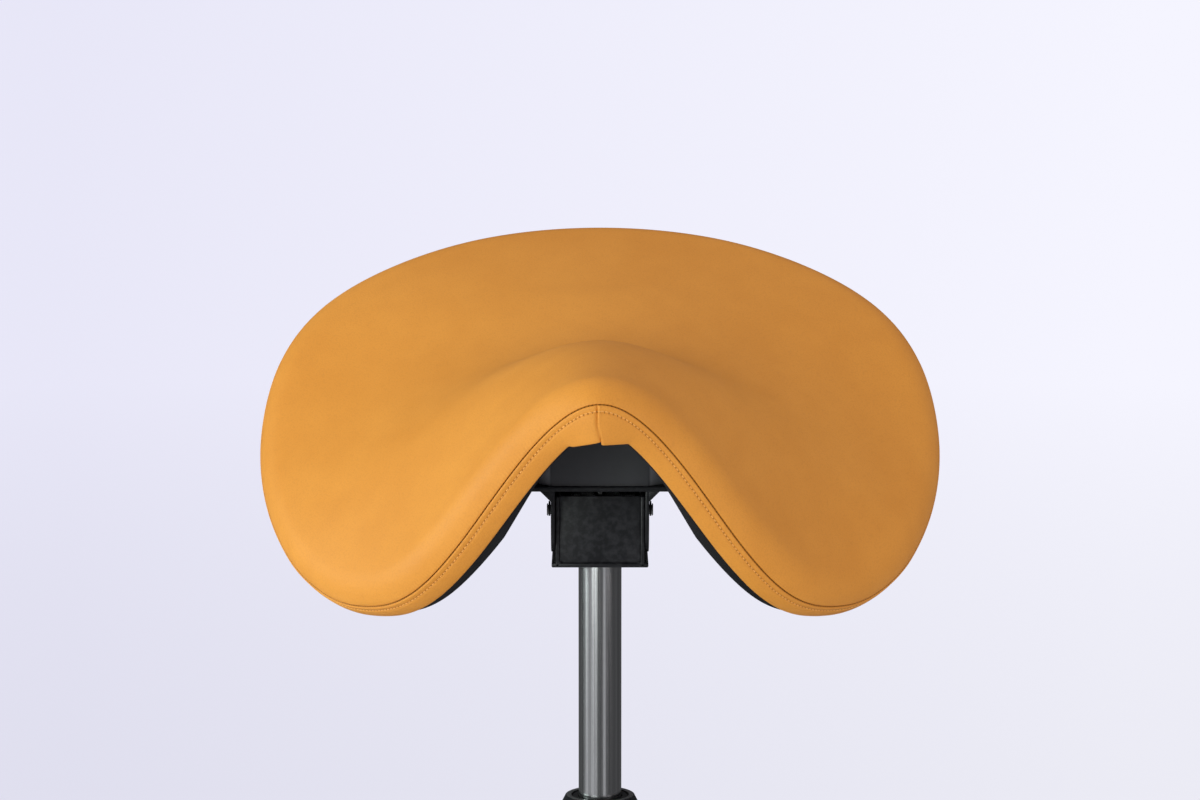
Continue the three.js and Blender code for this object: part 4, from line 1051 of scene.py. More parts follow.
def add_topstitches():
    """A row of stitches in the channel of the band, modelled once and copied along it."""
    row = roll_ring(STITCH_ANGLE, EDGE_RADIUS - STITCH_SUNK)
    seam = roll_ring(*BAND_ROLL[0])
    deselect()
    bpy.ops.mesh.primitive_uv_sphere_add(segments=8, ring_count=5, radius=1)
    first = bpy.context.object
    first.scale = (STITCH_LENGTH / 2 * MM, STITCH_RADIUS * MM, STITCH_RADIUS * MM)
    bpy.ops.object.transform_apply(scale=True)
    copies = []
    travelled, due = 0.0, STITCH_PITCH / 2
    count = len(row)
    for index in range(count):
        start, end = row[index], row[(index + 1) % count]
        length = (seam[(index + 1) % count] - seam[index]).length
        while due < travelled + length:
            share = (due - travelled) / length
            outward = EDGE[index][2].lerp(EDGE[(index + 1) % count][2], share)
            along = (end - start).normalized()
            side = outward.cross(along).normalized()
            turn = Matrix((along, side, along.cross(side))).transposed().to_4x4()
            copy = copy_of(first)
            copy.matrix_world = Matrix.Translation(start.lerp(end, share) * MM) @ turn
            copies.append(copy)
            due += STITCH_PITCH
        travelled += length
    bpy.data.objects.remove(first)
    finish_piece(joined(copies), "band_topstitches", THREAD, "seat", (), 60)


def add_seat_foam():
    radius = EDGE_RADIUS - LEATHER_THICKNESS - FOAM_GAP
    depth = EDGE_RADIUS - radius * math.cos(math.radians(UNDER_ANGLE))
    shares = [i / FOAM_STEPS for i in range(FOAM_STEPS + 1)]
    rings = [skin_ring(share, LEATHER_THICKNESS + GAP) for share in shares]
    rings += [roll_ring(angle, radius) for angle in range(10, UNDER_ANGLE + 1, 5)]
    rings += [skin_ring(share, depth) for share in reversed(shares)]
    piece = lofted(rings)
    finish_piece(piece, "seat_cushion", FOAM, "seat", ["seat_foam"], 60)


# ---------------------------------------------------------------- Pan under the saddle

PEDESTAL_HALF_WIDTH = 56
PEDESTAL_FRONT_HALF_WIDTH = 31
PEDESTAL_FRONT = -60
PEDESTAL_SHOULDER = -38
PEDESTAL_REAR = 92
PEDESTAL_ROUND = 8
RIB_COUNT = 10
RIB_HEIGHT = 5
RIB_HALF_WIDTH = 1.3
RIB_START = 0.2
RIB_REACH = 0.7
RIB_STEPS = 14
RIB_END = 0.92
RIB_FADE = 0.15


def pan_depths():
    radius = EDGE_RADIUS - LEATHER_THICKNESS - FOAM_GAP
    top = EDGE_RADIUS - radius * math.cos(math.radians(UNDER_ANGLE)) + PAN_GAP
    reach = radius * math.sin(math.radians(UNDER_ANGLE)) - PAN_RIM_INSET + GAP
    return top, top + PAN_THICKNESS, reach


def pedestal_outline():
    """A front face as wide as the box, shoulders that slant back to the full width, and rounded
    rear corners."""
    half = [(0, PEDESTAL_FRONT)]
    half += [(x, PEDESTAL_FRONT) for x in (10, 20, PEDESTAL_FRONT_HALF_WIDTH - 1)]
    half += [(PEDESTAL_FRONT_HALF_WIDTH + 0.4, PEDESTAL_FRONT + 0.5)]
    half += [(PEDESTAL_FRONT_HALF_WIDTH + (PEDESTAL_HALF_WIDTH - PEDESTAL_FRONT_HALF_WIDTH) * i / 6,
              PEDESTAL_FRONT + (PEDESTAL_SHOULDER - PEDESTAL_FRONT) * i / 6) for i in range(1, 6)]
    half += [(PEDESTAL_HALF_WIDTH - 0.6, PEDESTAL_SHOULDER - 0.6),
             (PEDESTAL_HALF_WIDTH, PEDESTAL_SHOULDER + 2)]
    half += [(PEDESTAL_HALF_WIDTH, PEDESTAL_SHOULDER + 2 + 12 * i) for i in range(1, 10)]
    corner = (PEDESTAL_HALF_WIDTH - PEDESTAL_ROUND, PEDESTAL_REAR - PEDESTAL_ROUND)
    half += arc(corner, PEDESTAL_ROUND, 0, 90, 6)
    half += [(x, PEDESTAL_REAR) for x in (36, 24, 12)]
    other = [(-x, y) for x, y in reversed(half[1:])]
    return half + [(0, PEDESTAL_REAR)] + other


def inner_hem(share, depth, skirt):
    """A ring on the inner side of the hanging rim, as deep as the rim hangs at each place."""
    shallow, deep = skin_ring(share, depth), skin_ring(share, depth + skirt)
    return [low.lerp(high, skirt_share(place.z)) for low, high, (place, _, _) in zip(shallow, deep,
                                                                                     EDGE)]


def add_seat_pan():
    top, bottom, reach = pan_depths()
    shares = [i / PAN_STEPS for i in range(PAN_STEPS + 1)]
    rim = [(top, reach * 0.5), (top, reach - 0.9), (top + 0.25, reach - 0.3), (top + 0.8, reach)]
    hem = [(3.4, reach), (2.5, reach - 0.3), (1.9, reach - 1.1), (1.2, reach * 0.8),
           (0.6, reach * 0.5), (0.2, reach * 0.2), (0, 0)]
    rings = [skin_ring(share, top) for share in shares]
    rings += [rim_ring(depth, out) for depth, out in rim]
    rings += [rim_ring(bottom - rise, out, PAN_SKIRT) for rise, out in hem]
    rings += [inner_hem(share, bottom, hang * PAN_SKIRT) for share, hang in
              ((0.985, 0.94), (0.97, 0.79), (0.95, 0.56), (0.93, 0.28), (0.915, 0.08), (0.9, 0))]
    rings += [skin_ring(share, bottom) for share in reversed(shares) if share < 0.89]
    shell = lofted(rings)
    foot = span("seat_pan")[0].z
    foot_level = span("upper_bracket")[1].z + GAP
    outline = pedestal_outline()

    def level(share, spread):
        ring = []
        for x, y in outline:
            height = skin_height(x, y) + SADDLE_LEVEL - (top + bottom) / 2
            z = foot_level + (height - foot_level) * share
            grow = 1 + spread / PEDESTAL_HALF_WIDTH
            ring.append(Vector((x * min(grow, 1), y, z)))
        return ring

    middle = Vector((0, (PEDESTAL_FRONT + PEDESTAL_REAR) / 2, 0))
    bottom_centre = [Vector((0, middle.y, foot_level))] * len(outline)
    top_height = skin_height(0, middle.y) + SADDLE_LEVEL - (top + bottom) / 2
    top_centre = [Vector((0, middle.y, top_height))] * len(outline)
    stand = lofted([bottom_centre, level(0, -1.2), level(0.02, 0), level(0.5, 0), level(1, 0),
                    top_centre])
    shell.data.materials.append(MOULDED_BLACK)
    stand.data.materials.append(PEDESTAL_SKIN)
    piece = joined([shell, stand, *pan_ribs(bottom)])
    finish_piece(piece, "moulded_seat_pan", MOULDED_BLACK, "seat", ["seat_pan"], 40)


def pan_ribs(depth):
    """Stiffening ribs under the pan, from the pedestal out towards the rim."""
    ribs = []
    for index in range(RIB_COUNT):
        turn = (index + 0.5) / RIB_COUNT
        rim = outline_place(turn)
        if rim.y < FRONT + LENGTH * 0.2:
            continue
        rings = []
        for share in [RIB_START + RIB_REACH * i / RIB_STEPS for i in range(RIB_STEPS + 1)]:
            plan = MIDDLE.lerp(rim, share)
            ahead = MIDDLE.lerp(rim, share + 0.01) - plan
            side = Vector((-ahead.y, ahead.x, 0)).normalized()
            normal = skin_normal(plan.x, plan.y)
            drop = RIB_HEIGHT * min(1, (RIB_END - share) / RIB_FADE)
            root = on_skin(plan) + LIFT - normal * (depth - 1)
            low = on_skin(plan) + LIFT - normal * (depth + drop)
            half = side * RIB_HALF_WIDTH
            rings.append([root + half, low + half * 0.8, low - half * 0.8, root - half])
        first = [sum(rings[0], Vector()) / 4] * 4
        last = [sum(rings[-1], Vector()) / 4] * 4
        ribs.append(lofted([first, *rings, last]))
    return ribs


# ---------------------------------------------------------------- Housing, bracket and pivot

SHEET = 2.5
PLATE = 3
PLATE_CORNER = 10
PIVOT = (-34, 525)
PIN_RADIUS = 4
BUSH_WALL = 2.1
CLIP_RADIUS = 5.5
CLIP_OPENING = 50
EAR_RADIUS = 27
EAR_INSIDE = 28.7
BEND_WIDTH = 7
BEND_HEIGHT = 6.3
TONGUE = (38, 63)
SHAFT = (50, 520)
LEVER_PIN = (26, 533)
WELD_RADIUS = 1.1
WELD_STEP_SHARE = 0.9
WELD_RIPPLE = 0.15
WELD_TURN = 2.3


def weld_bead(start, end, radius=WELD_RADIUS):
    """A weld: a row of lapped drops of metal along a line, modelled once and copied."""
    deselect()
    start, end = Vector(start), Vector(end)
    count = max(2, int((end - start).length / (radius * WELD_STEP_SHARE)))
    bpy.ops.mesh.primitive_uv_sphere_add(segments=12, ring_count=8, radius=radius * MM)
    first = bpy.context.object
    drops = []
    for index in range(count + 1):
        drop = copy_of(first)
        swell = 1 - WELD_RIPPLE + WELD_RIPPLE * math.sin(index * WELD_TURN)
        drop.scale = (swell, swell, swell)
        drop.location = start.lerp(end, index / count) * MM
        drops.append(drop)
    bpy.data.objects.remove(first)
    bead = joined(drops)
    bpy.ops.object.transform_apply(location=True, rotation=True, scale=True)
    return bead


def add_lower_housing():
    low, high = span("lower_housing")
    wall_outside = high.x - SHEET
    front_flange, rear_flange = high.x, wall_outside
    floor_outline = [(front_flange, low.y), (front_flange, 18), (rear_flange, 20),
                     (rear_flange, high.y), (-rear_flange, high.y), (-rear_flange, 20),
                     (-front_flange, 18), (-front_flange, low.y)]
    floor = prism(floor_outline, low.z, low.z + PLATE, "Z", 0.9, 3)
    wall_outline = [(low.y, low.z + 0.2), (high.y, low.z + 0.2), (high.y, high.z - 5),
                    (high.y - 5, high.z), (-24, high.z), (-36, high.z - 4), (low.y, high.z - 4)]
    pieces = [floor]
    for side in (-1, 1):
        outer = side * wall_outside
        pieces.append(prism(wall_outline, outer - side * SHEET, outer, "X", 0.6, 3))
        pieces.append(weld_bead((outer - side * 1, low.y + 1, low.z + 3),
                                (outer - side * 3.6, low.y + 1.2, low.z + 3)))
        pieces.append(weld_bead((outer + side * 0.3, low.y + 4, low.z + 3.4),
                                (outer + side * 0.3, 16, low.z + 3.4)))
    inside = wall_outside - SHEET
    panel_front = low.y + 1.6
    pieces.append(block((-inside - 0.2, panel_front, low.z + 0.5),
                        (inside + 0.2, panel_front + SHEET, high.z - 4), 0.5))
    finish_piece(joined(pieces), "pivot_housing", BLACK_PAINT, "lift", ["lower_housing"], 40)


def add_taper_socket():
    low, high = span("taper_socket")
    bore = TUBE_TOP_RADIUS + 1.1
    ring = sleeve(bore, high.x, low.z, high.z, 64, 0.8, 3)
    bead = turned([(high.x - 0.5, low.z), (high.x + 1.6, low.z), (high.x - 0.5, low.z + 2.2)], 64,
                  closed=True)
    finish_piece(joined([ring, bead]), "welded_taper_socket", BLACK_PAINT, "lift", ["taper_socket"])


def add_upper_bracket():
    low, high = span("upper_bracket")
    under = high.z - PLATE
    pieces = [prism(rounded_outline(high.x, low.y, high.y, PLATE_CORNER), under, high.z, "Z", 0.6,
                    2)]
    ear = [(PIVOT[0] - EAR_RADIUS, under + 0.5)] + arc(PIVOT, EAR_RADIUS, 180, 360, 28)
    ear += [(PIVOT[0] + EAR_RADIUS, under + 0.5)]
    for side in (-1, 1):
        inner, outer = side * EAR_INSIDE, side * (EAR_INSIDE + SHEET)
        pieces.append(prism(ear, inner, outer, "X", 0.5, 3))
        gusset = block((0, PIVOT[0] - EAR_RADIUS, under - BEND_HEIGHT),
                       (1, PIVOT[0] + EAR_RADIUS, under + 0.3))
        for vertex in gusset.data.vertices:
            reach = 0.3 if vertex.co.z < (under - 1) * MM else BEND_WIDTH
            away = side * reach if vertex.co.x > 0.5 * MM else -side * 0.3
            vertex.co.x = (outer + away) * MM
        take(gusset)
        mend_mesh()
        soften(gusset, 0.5, 3)
        pieces.append(gusset)
        tongue_out = EAR_INSIDE - GAP - SHEET - 0.5
        front, rear = TONGUE
        tongue = [(front, low.z + 1), (rear, low.z + 1), (rear, under + 0.5), (front, under + 0.5)]
        pieces.append(prism(tongue, side * (tongue_out - SHEET), side * tongue_out, "X", 0.4, 2))
    finish_piece(joined(pieces), "tilt_bracket", BLACK_PAINT, "seat", ["upper_bracket"], 40)


def add_pivot():
    half = span("pivot_pin")[1].x
    clip_low, clip_high = span("pivot_clip_right")
    groove = PIN_RADIUS - 0.9
    inner, outer = clip_low.x - 0.3, clip_high.x + 0.3
    side = [(PIN_RADIUS, inner), (groove, inner), (groove, outer), (PIN_RADIUS, outer),
            (PIN_RADIUS, half - 0.5), (PIN_RADIUS - 0.5, half), (0, half)]
    profile = [(radius, -along) for radius, along in reversed(side)] + side
    pin = along_x(turned(profile, 40), (0, *PIVOT))
    finish_piece(pin, "pivot_pin_turned", PLATED_STEEL, "lift", ["pivot_pin"])
    for name, direction in (("left", -1), ("right", 1)):
        middle = (clip_low.x + clip_high.x) / 2 * direction
        start, end = -90 + CLIP_OPENING, 270 - CLIP_OPENING
        outline = arc(PIVOT, CLIP_RADIUS, start, end, 30)
        outline += arc(PIVOT, groove + 0.3, end, start, 24)
        half_clip = (clip_high.x - clip_low.x) / 2
        clip = prism(outline, middle - half_clip, middle + half_clip, "X", 0.2, 2)
        finish_piece(clip, f"retaining_clip_{name}", BLACK_PAINT, "lift", [f"pivot_clip_{name}"])
        low, high = span(f"pivot_bush_{name}")
        bush = sleeve(PIN_RADIUS + GAP, PIN_RADIUS + BUSH_WALL, low.x, high.x)
        finish_piece(along_x(bush, (0, *PIVOT)), f"pivot_bush_{name}_moulded", BEARING, "lift",
                     [f"pivot_bush_{name}"])


def add_seat_bolts():
    for number in range(1, 5):
        low, high = span(f"seat_bolt_{number}")
        centre = (low + high) / 2
        head_radius = (high.y - low.y) / 2
        head_top = low.z + 5
        head = hex_ring(head_radius, 1.5, low.z, head_top)
        socket = disc(1.9, low.z + 2, head_top - 0.1)
        washer = sleeve(3, head_radius + 1.4, head_top - 1.2, head_top + 0.1)
        shank = turned([(0, head_top - 0.5), (3.9, head_top - 0.5), (3.9, high.z - 1), (3, high.z),
                        (0, high.z)], 32)
        bolt = set_at(joined([head, socket, washer, shank]), (centre.x, centre.y, 0))
        finish_piece(bolt, f"hex_bolt_{number}", PLATED_STEEL, "seat", [f"seat_bolt_{number}"])


# ---------------------------------------------------------------- Lift

TUBE_WALL = 2
TUBE_TAPER_START = 493
TUBE_TOP_RADIUS = 13
BUTTON_BORE = 4.3
BUTTON_BORE_DEPTH = 20
COLUMN_CHAMFER = (2.7, 5)
COLUMN_FOOT = 23.6
COLUMN_WALL = 2.5
HUB_TOP = 128
BUSH_NECK = 18.3


def add_lift():
    low, high = span("gas_cylinder")
    radius = high.x
    bore = radius - TUBE_WALL
    head = TUBE_TAPER_START - 23
    tube = turned([
        (bore, low.z), (radius - 0.6, low.z), (radius, low.z + 0.6), (radius, TUBE_TAPER_START),
        (TUBE_TOP_RADIUS, high.z - 0.6), (TUBE_TOP_RADIUS - 0.6, high.z),
        (BUTTON_BORE + 0.4, high.z), (BUTTON_BORE, high.z - 0.4),
        (BUTTON_BORE, high.z - BUTTON_BORE_DEPTH), (0, high.z - BUTTON_BORE_DEPTH), (0, head),
        (bore, head)], 96, closed=True)
    finish_piece(tube, "brushed_gas_tube", BRUSHED_STEEL, "lift", ["gas_cylinder"])
    low, high = span("release_button")
    button = turned([(0, low.z), (high.x, low.z), (high.x, high.z - 1.2),
                     (high.x - 0.4, high.z - 0.5), (high.x - 1.4, high.z), (0, high.z)], 40)
    finish_piece(button, "valve_button", PLATED_STEEL, "button", ["release_button"])


def add_column():
    low, high = span("column_tube")
    radius, foot = high.x, COLUMN_FOOT
    top_radius = radius - COLUMN_CHAMFER[0]
    neck = BUSH_NECK + GAP
    inside = radius - COLUMN_WALL
    shell = turned([
        (5.3, low.z), (foot, low.z), (radius, HUB_TOP), (radius, high.z - COLUMN_CHAMFER[1]),
        (top_radius + 0.3, high.z - 0.3), (top_radius - 0.2, high.z), (neck + 0.3, high.z),
        (neck, high.z - 0.3), (neck, high.z - 5), (inside, high.z - 5), (inside, HUB_TOP),
        (foot - COLUMN_WALL, low.z + 6), (5.3, low.z + 6)], 96, closed=True)
    shell.data.materials.append(BLACK_PAINT)
    shell.data.materials.append(CUT_METAL)
    for face in shell.data.polygons:
        if face.normal.z > 0.9 and face.center.z > (high.z - 0.5) * MM:
            face.material_index = 1
    finish_piece(shell, "black_column", BLACK_PAINT, "base", ["column_tube"])
    low, high = span("guide_bush")
    bore = 14.3
    bush = turned([
        (bore, low.z), (high.x, low.z), (high.x, high.z - 4.7), (BUSH_NECK, high.z - 4.7),
        (BUSH_NECK, high.z - 0.4), (BUSH_NECK - 0.4, high.z), (bore + 1.4, high.z),
        (bore + 0.4, high.z - 0.3), (bore, high.z - 0.9)], 96, closed=True)
    finish_piece(bush, "guide_bush_moulded", BEARING, "base", ["guide_bush"])


# ---------------------------------------------------------------- Levers

LEVER_RADIUS = 3
LEVER_LEVEL = 529
TILT_LEVER_X = -13
LEVER_SWEEP = (60, 107)
LEVER_END = (150, 112)
LEVER_RISE = 5
LEVER_TURN = (84, 24, 99)
STRAIGHT_SHARES = (0, 0.25, 0.4, 1)
# How far the height lever's black dipped end reaches. It also keeps the gap over the housing in
# painted shade.
DIPPED_SHADE_END = 7.5
GRIP_LENGTH = 52
GRIP_BORE = 46
GRIP_RADIUS = 6.5
GRIP_RIBS = 9
GRIP_RIB_START = 6
GRIP_RIB_STEP = 3.6


def lever_line(side, start, inner_x, level):
    sweep = Vector((side * LEVER_SWEEP[0], LEVER_SWEEP[1], level))
    end = Vector((side * LEVER_END[0], LEVER_END[1], level + LEVER_RISE))
    straight = [sweep.lerp(end, share) for share in STRAIGHT_SHARES]
    return [*start, (inner_x, LEVER_TURN[0], level), (side * LEVER_TURN[1], LEVER_TURN[2], level),
            *straight]


def add_grip(name, node, side, level):
    """A moulded grip with a neck, finger ribs and a domed end."""
    profile = [(LEVER_RADIUS + 0.3, 0), (4.6, 0), (5.1, 0.6), (5.4, 3), (6.2, 4.5)]
    for rib in range(GRIP_RIBS):
        start = GRIP_RIB_START + rib * GRIP_RIB_STEP
        profile += [(GRIP_RADIUS, start), (GRIP_RADIUS, start + 2),
                    (GRIP_RADIUS - 0.45, start + 2.5), (GRIP_RADIUS - 0.45, start + 3.1)]
    profile += [(GRIP_RADIUS, 39.5), (GRIP_RADIUS, GRIP_LENGTH - 3.4)]
    dome = arc((GRIP_RADIUS - 3.4, GRIP_LENGTH - 3.4), 3.4, 0, 90, 6)
    profile += dome[1:] + [(0, GRIP_LENGTH), (0, GRIP_BORE), (LEVER_RADIUS + 0.3, GRIP_BORE)]
    grip = turned(profile, 40, closed=True)
    sweep = Vector((side * LEVER_SWEEP[0], LEVER_SWEEP[1], level))
    end = Vector((side * LEVER_END[0], LEVER_END[1], level + LEVER_RISE))
    along = (end - sweep).normalized()
    turn = [math.degrees(angle) for angle in along.to_track_quat("Z", "Y").to_euler()]
    set_at(grip, end + along * (GAP - GRIP_BORE), turn)
    body = "height_lever" if side > 0 else "tilt_lever"
    finish_piece(grip, name, MOULDED_BLACK, body, [node], 30)


def add_levers():
    tip = span("release_button")[1].z + GAP + LEVER_RADIUS
    level = LEVER_LEVEL
    start = [(0, -6, tip), (0, 8, tip), (4, LEVER_PIN[0], LEVER_PIN[1] + LEVER_RADIUS / 2),
             (12, 42, level)]
    rod = bent_rod(lever_line(1, start, 12, level), LEVER_RADIUS)
    barrel = sleeve(LEVER_RADIUS + GAP, 5.5, -4, 14, 40, 0.5)
    barrel = along_x(barrel, (0, *LEVER_PIN))
    # The rod's end by the button takes the black bearing plastic. This is a dipped end and also
    # painted shade: it keeps the gap over the housing dark where the plated rod would show a bright
    # reflection.
    rod.data.materials.append(PLATED_STEEL)
    rod.data.materials.append(BEARING)
    for face in rod.data.polygons:
        face.material_index = int(face.center.y < DIPPED_SHADE_END * MM)
    finish_piece(joined([rod, barrel]), "height_lever_rod", PLATED_STEEL, "height_lever",
                 ["height_lever"])
    add_grip("height_lever_grip", "height_grip", 1, level)
    middle = TILT_LEVER_X
    rod = bent_rod(lever_line(-1, [(middle, SHAFT[0] + 6, SHAFT[1])], middle, SHAFT[1]),
                   LEVER_RADIUS)
    hub = along_x(sleeve(4.3, 8, -20, -6, 48, 0.7, 3), (0, *SHAFT))
    finish_piece(joined([rod, hub]), "tilt_lever_rod", PLATED_STEEL, "tilt_lever", ["tilt_lever"])
    add_grip("tilt_lever_grip", "tilt_grip", -1, SHAFT[1])
    low, high = span("lever_pin")
    pin = chamfered_disc(LEVER_RADIUS, low.x, high.x)
    finish_piece(along_x(pin, (0, *LEVER_PIN)), "lever_pin_turned", PLATED_STEEL, "lift",
                 ["lever_pin"])
    low, high = span("clamp_shaft")
    shaft = turned([(0, low.x + 2), (3.4, low.x + 2), (4, low.x + 3), (4, high.x - 0.6),
                    (3.4, high.x), (0, high.x)], 40)
    head = hex_ring(7.5, 1, low.x, low.x + 3.3)
    cap = disc(4.4, low.x + 0.1, low.x + 3.2)
    finish_piece(along_x(joined([shaft, head, cap]), (0, *SHAFT)), "clamp_shaft_turned",
                 PLATED_STEEL, "tilt_lever", ["clamp_shaft"])
    low, high = span("clamp_nut")
    nut = along_x(hex_ring(7.4, 4.3, low.x, high.x), (0, *SHAFT))
    finish_piece(nut, "clamp_nut_hex", PLATED_STEEL, "lift", ["clamp_nut"])


# ---------------------------------------------------------------- Base and casters

LEGS = 5
STEM_CIRCLE = 250
HUB = ((38, 64), (31, 128))
HUB_BORE = (24.1, 25.3)
HUB_OVERRUN = 4
LEG_STATIONS = 12
LEG_ROOT = (15.5, 42, 44, 98)
LEG_TIP = (26, 17)
LEG_ARCH = 5
SOCKET_RADIUS = 15
SOCKET_LEVELS = (74, 99)
BASE_VOXEL = 1.7
CASTER_TRAIL = 27
WHEEL_RADIUS = 30
WHEEL_LEVEL = 29.42
TREAD_START = 26.9
WHEEL_INSIDE = 6.3
WHEEL_OUTSIDE = 24.3
AXLE_RADIUS = 3
FENDER_GAP = 1.4
FENDER_THICKNESS = 2.6
WEB_HALF_WIDTH = 6
WEB_RADIUS = 25
BOSS_RADIUS = 9
BOSS_TOP = 71.7
STEM_RADIUS = 4
STEM_TOP_RADIUS = 5.5
COLLAR = (72, 73.7)


def leg_turn(index):
    return math.pi / 2 + index * 2 * math.pi / LEGS


def base_leg():
    """One leg along +X: a round-topped section from the hub to the socket, arched and tapering."""
    root_x, root_width, root_height, root_middle = LEG_ROOT
    tip_middle = sum(SOCKET_LEVELS) / 2
    rings = []
    for station in range(LEG_STATIONS + 1):
        share = station / LEG_STATIONS
        along = root_x + (STEM_CIRCLE - root_x) * share
        half_width = (root_width + (LEG_TIP[0] - root_width) * share) / 2
        half_height = (root_height + (LEG_TIP[1] - root_height) * share) / 2
        centre = root_middle + (tip_middle - root_middle) * share
        centre += LEG_ARCH * math.sin(math.pi * share)
        bevel = 0.56 * min(half_width, half_height)
        section = [(-half_width, -half_height), (half_width, -half_height),
                   (half_width, half_height - bevel)]
        section += [(half_width - bevel * (1 - math.cos(turn)),
                     half_height - bevel * (1 - math.sin(turn)))
                    for turn in (0.35, 0.7, 1.05, 1.4)]
        section += [(-y, z) for y, z in reversed(section[2:])]
        rings.append([Vector((along, y, centre + z)) for y, z in section])
    first = [sum(rings[0], Vector()) / len(rings[0])] * len(rings[0])
    last = [sum(rings[-1], Vector()) / len(rings[-1])] * len(rings[-1])
    return lofted([first, *rings, last])


def add_star_base():
    hub = turned([(0, HUB[0][1]), HUB[0], HUB[1], (0, HUB[1][1])], 96)
    pieces = [hub]
    for index in range(LEGS):
        socket = turned([(0, SOCKET_LEVELS[0]), (SOCKET_RADIUS, SOCKET_LEVELS[0]),
                         (SOCKET_RADIUS, SOCKET_LEVELS[1] - 3),
                         (SOCKET_RADIUS - 3, SOCKET_LEVELS[1]), (0, SOCKET_LEVELS[1])], 48)
        arm = joined([base_leg(), set_at(socket, (STEM_CIRCLE, 0, 0))])
        pieces.append(set_at(arm, (0, 0, 0), (0, 0, math.degrees(leg_turn(index)))))
    piece = joined(pieces)
    apply_modifier(piece, "REMESH", mode="VOXEL", voxel_size=BASE_VOXEL * MM)
    apply_modifier(piece, "SMOOTH", factor=0.5, iterations=6)
    foot, top = HUB[0][1] - HUB_OVERRUN, HUB[1][1] + HUB_OVERRUN
    bore = turned([(0, foot), (HUB_BORE[0], foot), (HUB_BORE[1], top), (0, top)], 96)
    apply_modifier(piece, "BOOLEAN", operation="DIFFERENCE", object=bore, solver="EXACT")
    bpy.data.objects.remove(bore)
    finish_piece(piece, "cast_star_base", CAST_ALUMINIUM, "base", ["star_base"], 50)


def add_caster_wheel(number, side, centre):
    """A wheel: a soft tread with rounded shoulders round a moulded disc with a stepped face."""
    inner, outer = WHEEL_INSIDE, WHEEL_OUTSIDE
    bore = AXLE_RADIUS + GAP
    profile = [(bore, inner), (26.5, inner), (27.3, inner + 0.2), (28.6, inner + 0.4),
               (29.5, inner + 1.2), (WHEEL_RADIUS, inner + 2.6), (WHEEL_RADIUS, outer - 3.2),
               (29.6, outer - 1.6), (28.6, outer - 0.5), (27.4, outer - 0.1),
               (TREAD_START, outer - 0.9), (26.3, outer - 0.2), (23.5, outer), (20, outer - 0.4),
               (19, outer - 1), (18.6, outer - 4.1), (18, outer - 4.5), (9, outer - 4.3),
               (8.4, outer - 3.4), (6.4, outer - 3.2), (6, outer - 4.4), (bore, outer - 4.5)]
    wheel = turned([(min(radius, WHEEL_LEVEL), along) for radius, along in profile], 72,
                   closed=True)
    wheel.data.materials.append(TREAD)
    wheel.data.materials.append(MOULDED_BLACK)
    for face in wheel.data.polygons:
        reach = math.hypot(face.center.x, face.center.y)
        face.material_index = 0 if reach > TREAD_START * MM else 1
    wheel = set_at(wheel, (centre.x, centre.y - CASTER_TRAIL, WHEEL_LEVEL), (0, 90 * side, 0))
    name = "right" if side > 0 else "left"
    finish_piece(wheel, f"wheel_{name}_{number}_tyred", TREAD, f"wheel_{name}_{number}",
                 [f"caster_wheel_{name}_{number}"], 40)


def add_caster_hood(number, centre):
    """The hood: a curved fender over both wheels, a web between them and the boss for the stem."""
    inside = WHEEL_RADIUS + FENDER_GAP
    outside = inside + FENDER_THICKNESS
    axle = (-CASTER_TRAIL, WHEEL_LEVEL)
    outline = arc(axle, outside, 5, 150, 40) + arc(axle, inside, 150, 5, 40)
    fender = prism(outline, -WHEEL_OUTSIDE, WHEEL_OUTSIDE, "X", 0.8, 3)
    half = WEB_HALF_WIDTH
    web = along_x(chamfered_disc(WEB_RADIUS, -half, half, 1, 48), (0, *axle))
    spine = block((-half, -CASTER_TRAIL, WHEEL_LEVEL), (half, 0, WHEEL_LEVEL + 22), 1)
    boss = turned([(0, WHEEL_LEVEL), (BOSS_RADIUS, WHEEL_LEVEL), (BOSS_RADIUS, BOSS_TOP - 0.7),
                   (BOSS_RADIUS - 0.6, BOSS_TOP), (0, BOSS_TOP)], 48)
    limit = (half - 0.1) * MM
    for vertex in boss.data.vertices:
        if vertex.co.z < 50 * MM:
            vertex.co.x = max(-limit, min(limit, vertex.co.x))
    hood = set_at(joined([fender, web, spine, boss]), (centre.x, centre.y, 0))
    finish_piece(hood, f"caster_hood_{number}_moulded", MOULDED_BLACK, f"caster_{number}",
                 [f"caster_hood_{number}"])


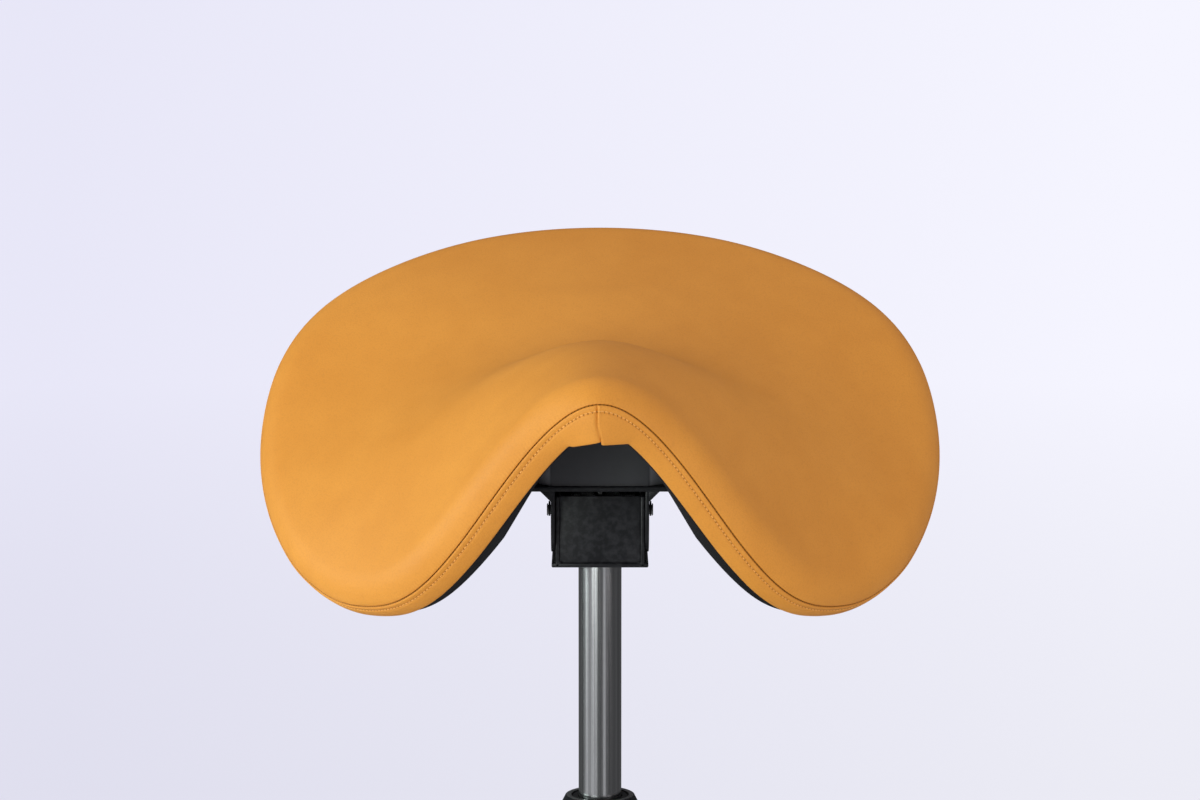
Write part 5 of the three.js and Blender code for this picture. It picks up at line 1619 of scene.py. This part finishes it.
def add_casters():
    for index in range(LEGS):
        number = index + 1
        turn = leg_turn(index)
        centre = Vector((STEM_CIRCLE * math.cos(turn), STEM_CIRCLE * math.sin(turn)))
        add_caster_hood(number, centre)
        for side in (-1, 1):
            add_caster_wheel(number, side, centre)
        low, high = span(f"caster_stem_{number}")
        foot, top = COLLAR
        stem = turned([
            (0, low.z), (STEM_RADIUS - 0.3, low.z), (STEM_RADIUS, low.z + 0.4), (STEM_RADIUS, foot),
            (BOSS_RADIUS - 0.4, foot), (BOSS_RADIUS, foot + 0.4), (BOSS_RADIUS, top - 0.4),
            (BOSS_RADIUS - 0.4, top), (STEM_TOP_RADIUS, top), (STEM_TOP_RADIUS, high.z - 0.8),
            (STEM_TOP_RADIUS - 0.8, high.z), (0, high.z)], 40)
        finish_piece(set_at(stem, (centre.x, centre.y, 0)), f"caster_stem_{number}_turned",
                     PLATED_STEEL, "base", [f"caster_stem_{number}"])
        low, high = span(f"caster_axle_{number}")
        half = (high.x - low.x) / 2
        axle = chamfered_disc(AXLE_RADIUS, -half, half)
        axle = along_x(axle, (centre.x, centre.y - CASTER_TRAIL, WHEEL_LEVEL))
        finish_piece(axle, f"caster_axle_{number}_turned", PLATED_STEEL, f"caster_{number}",
                     [f"caster_axle_{number}"])


# ---------------------------------------------------------------- Inner solids of the frame

def finish_inner_pieces():
    finishes = {"lower_race": PLATED_STEEL, "ball_cage": BEARING, "upper_race": PLATED_STEEL,
                "piston_rod": PLATED_STEEL, "rod_clip": PLATED_STEEL, "piston": BEARING,
                "gland_seal": MOULDED_BLACK}
    for name, material in finishes.items():
        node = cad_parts[name]
        node.data.materials.clear()
        node.data.materials.append(material)


scene.view_settings.view_transform = "Standard"
add_camera()
add_lights()
STUDIO = studio_group()
add_world(STUDIO)
add_floor(STUDIO)
for make in (add_leather_top, add_leather_band, add_topstitches, add_seat_foam, add_seat_pan,
             add_lower_housing, add_taper_socket, add_upper_bracket, add_pivot, add_seat_bolts,
             add_lift, add_column, add_levers, add_star_base, add_casters):
    make()
finish_inner_pieces()
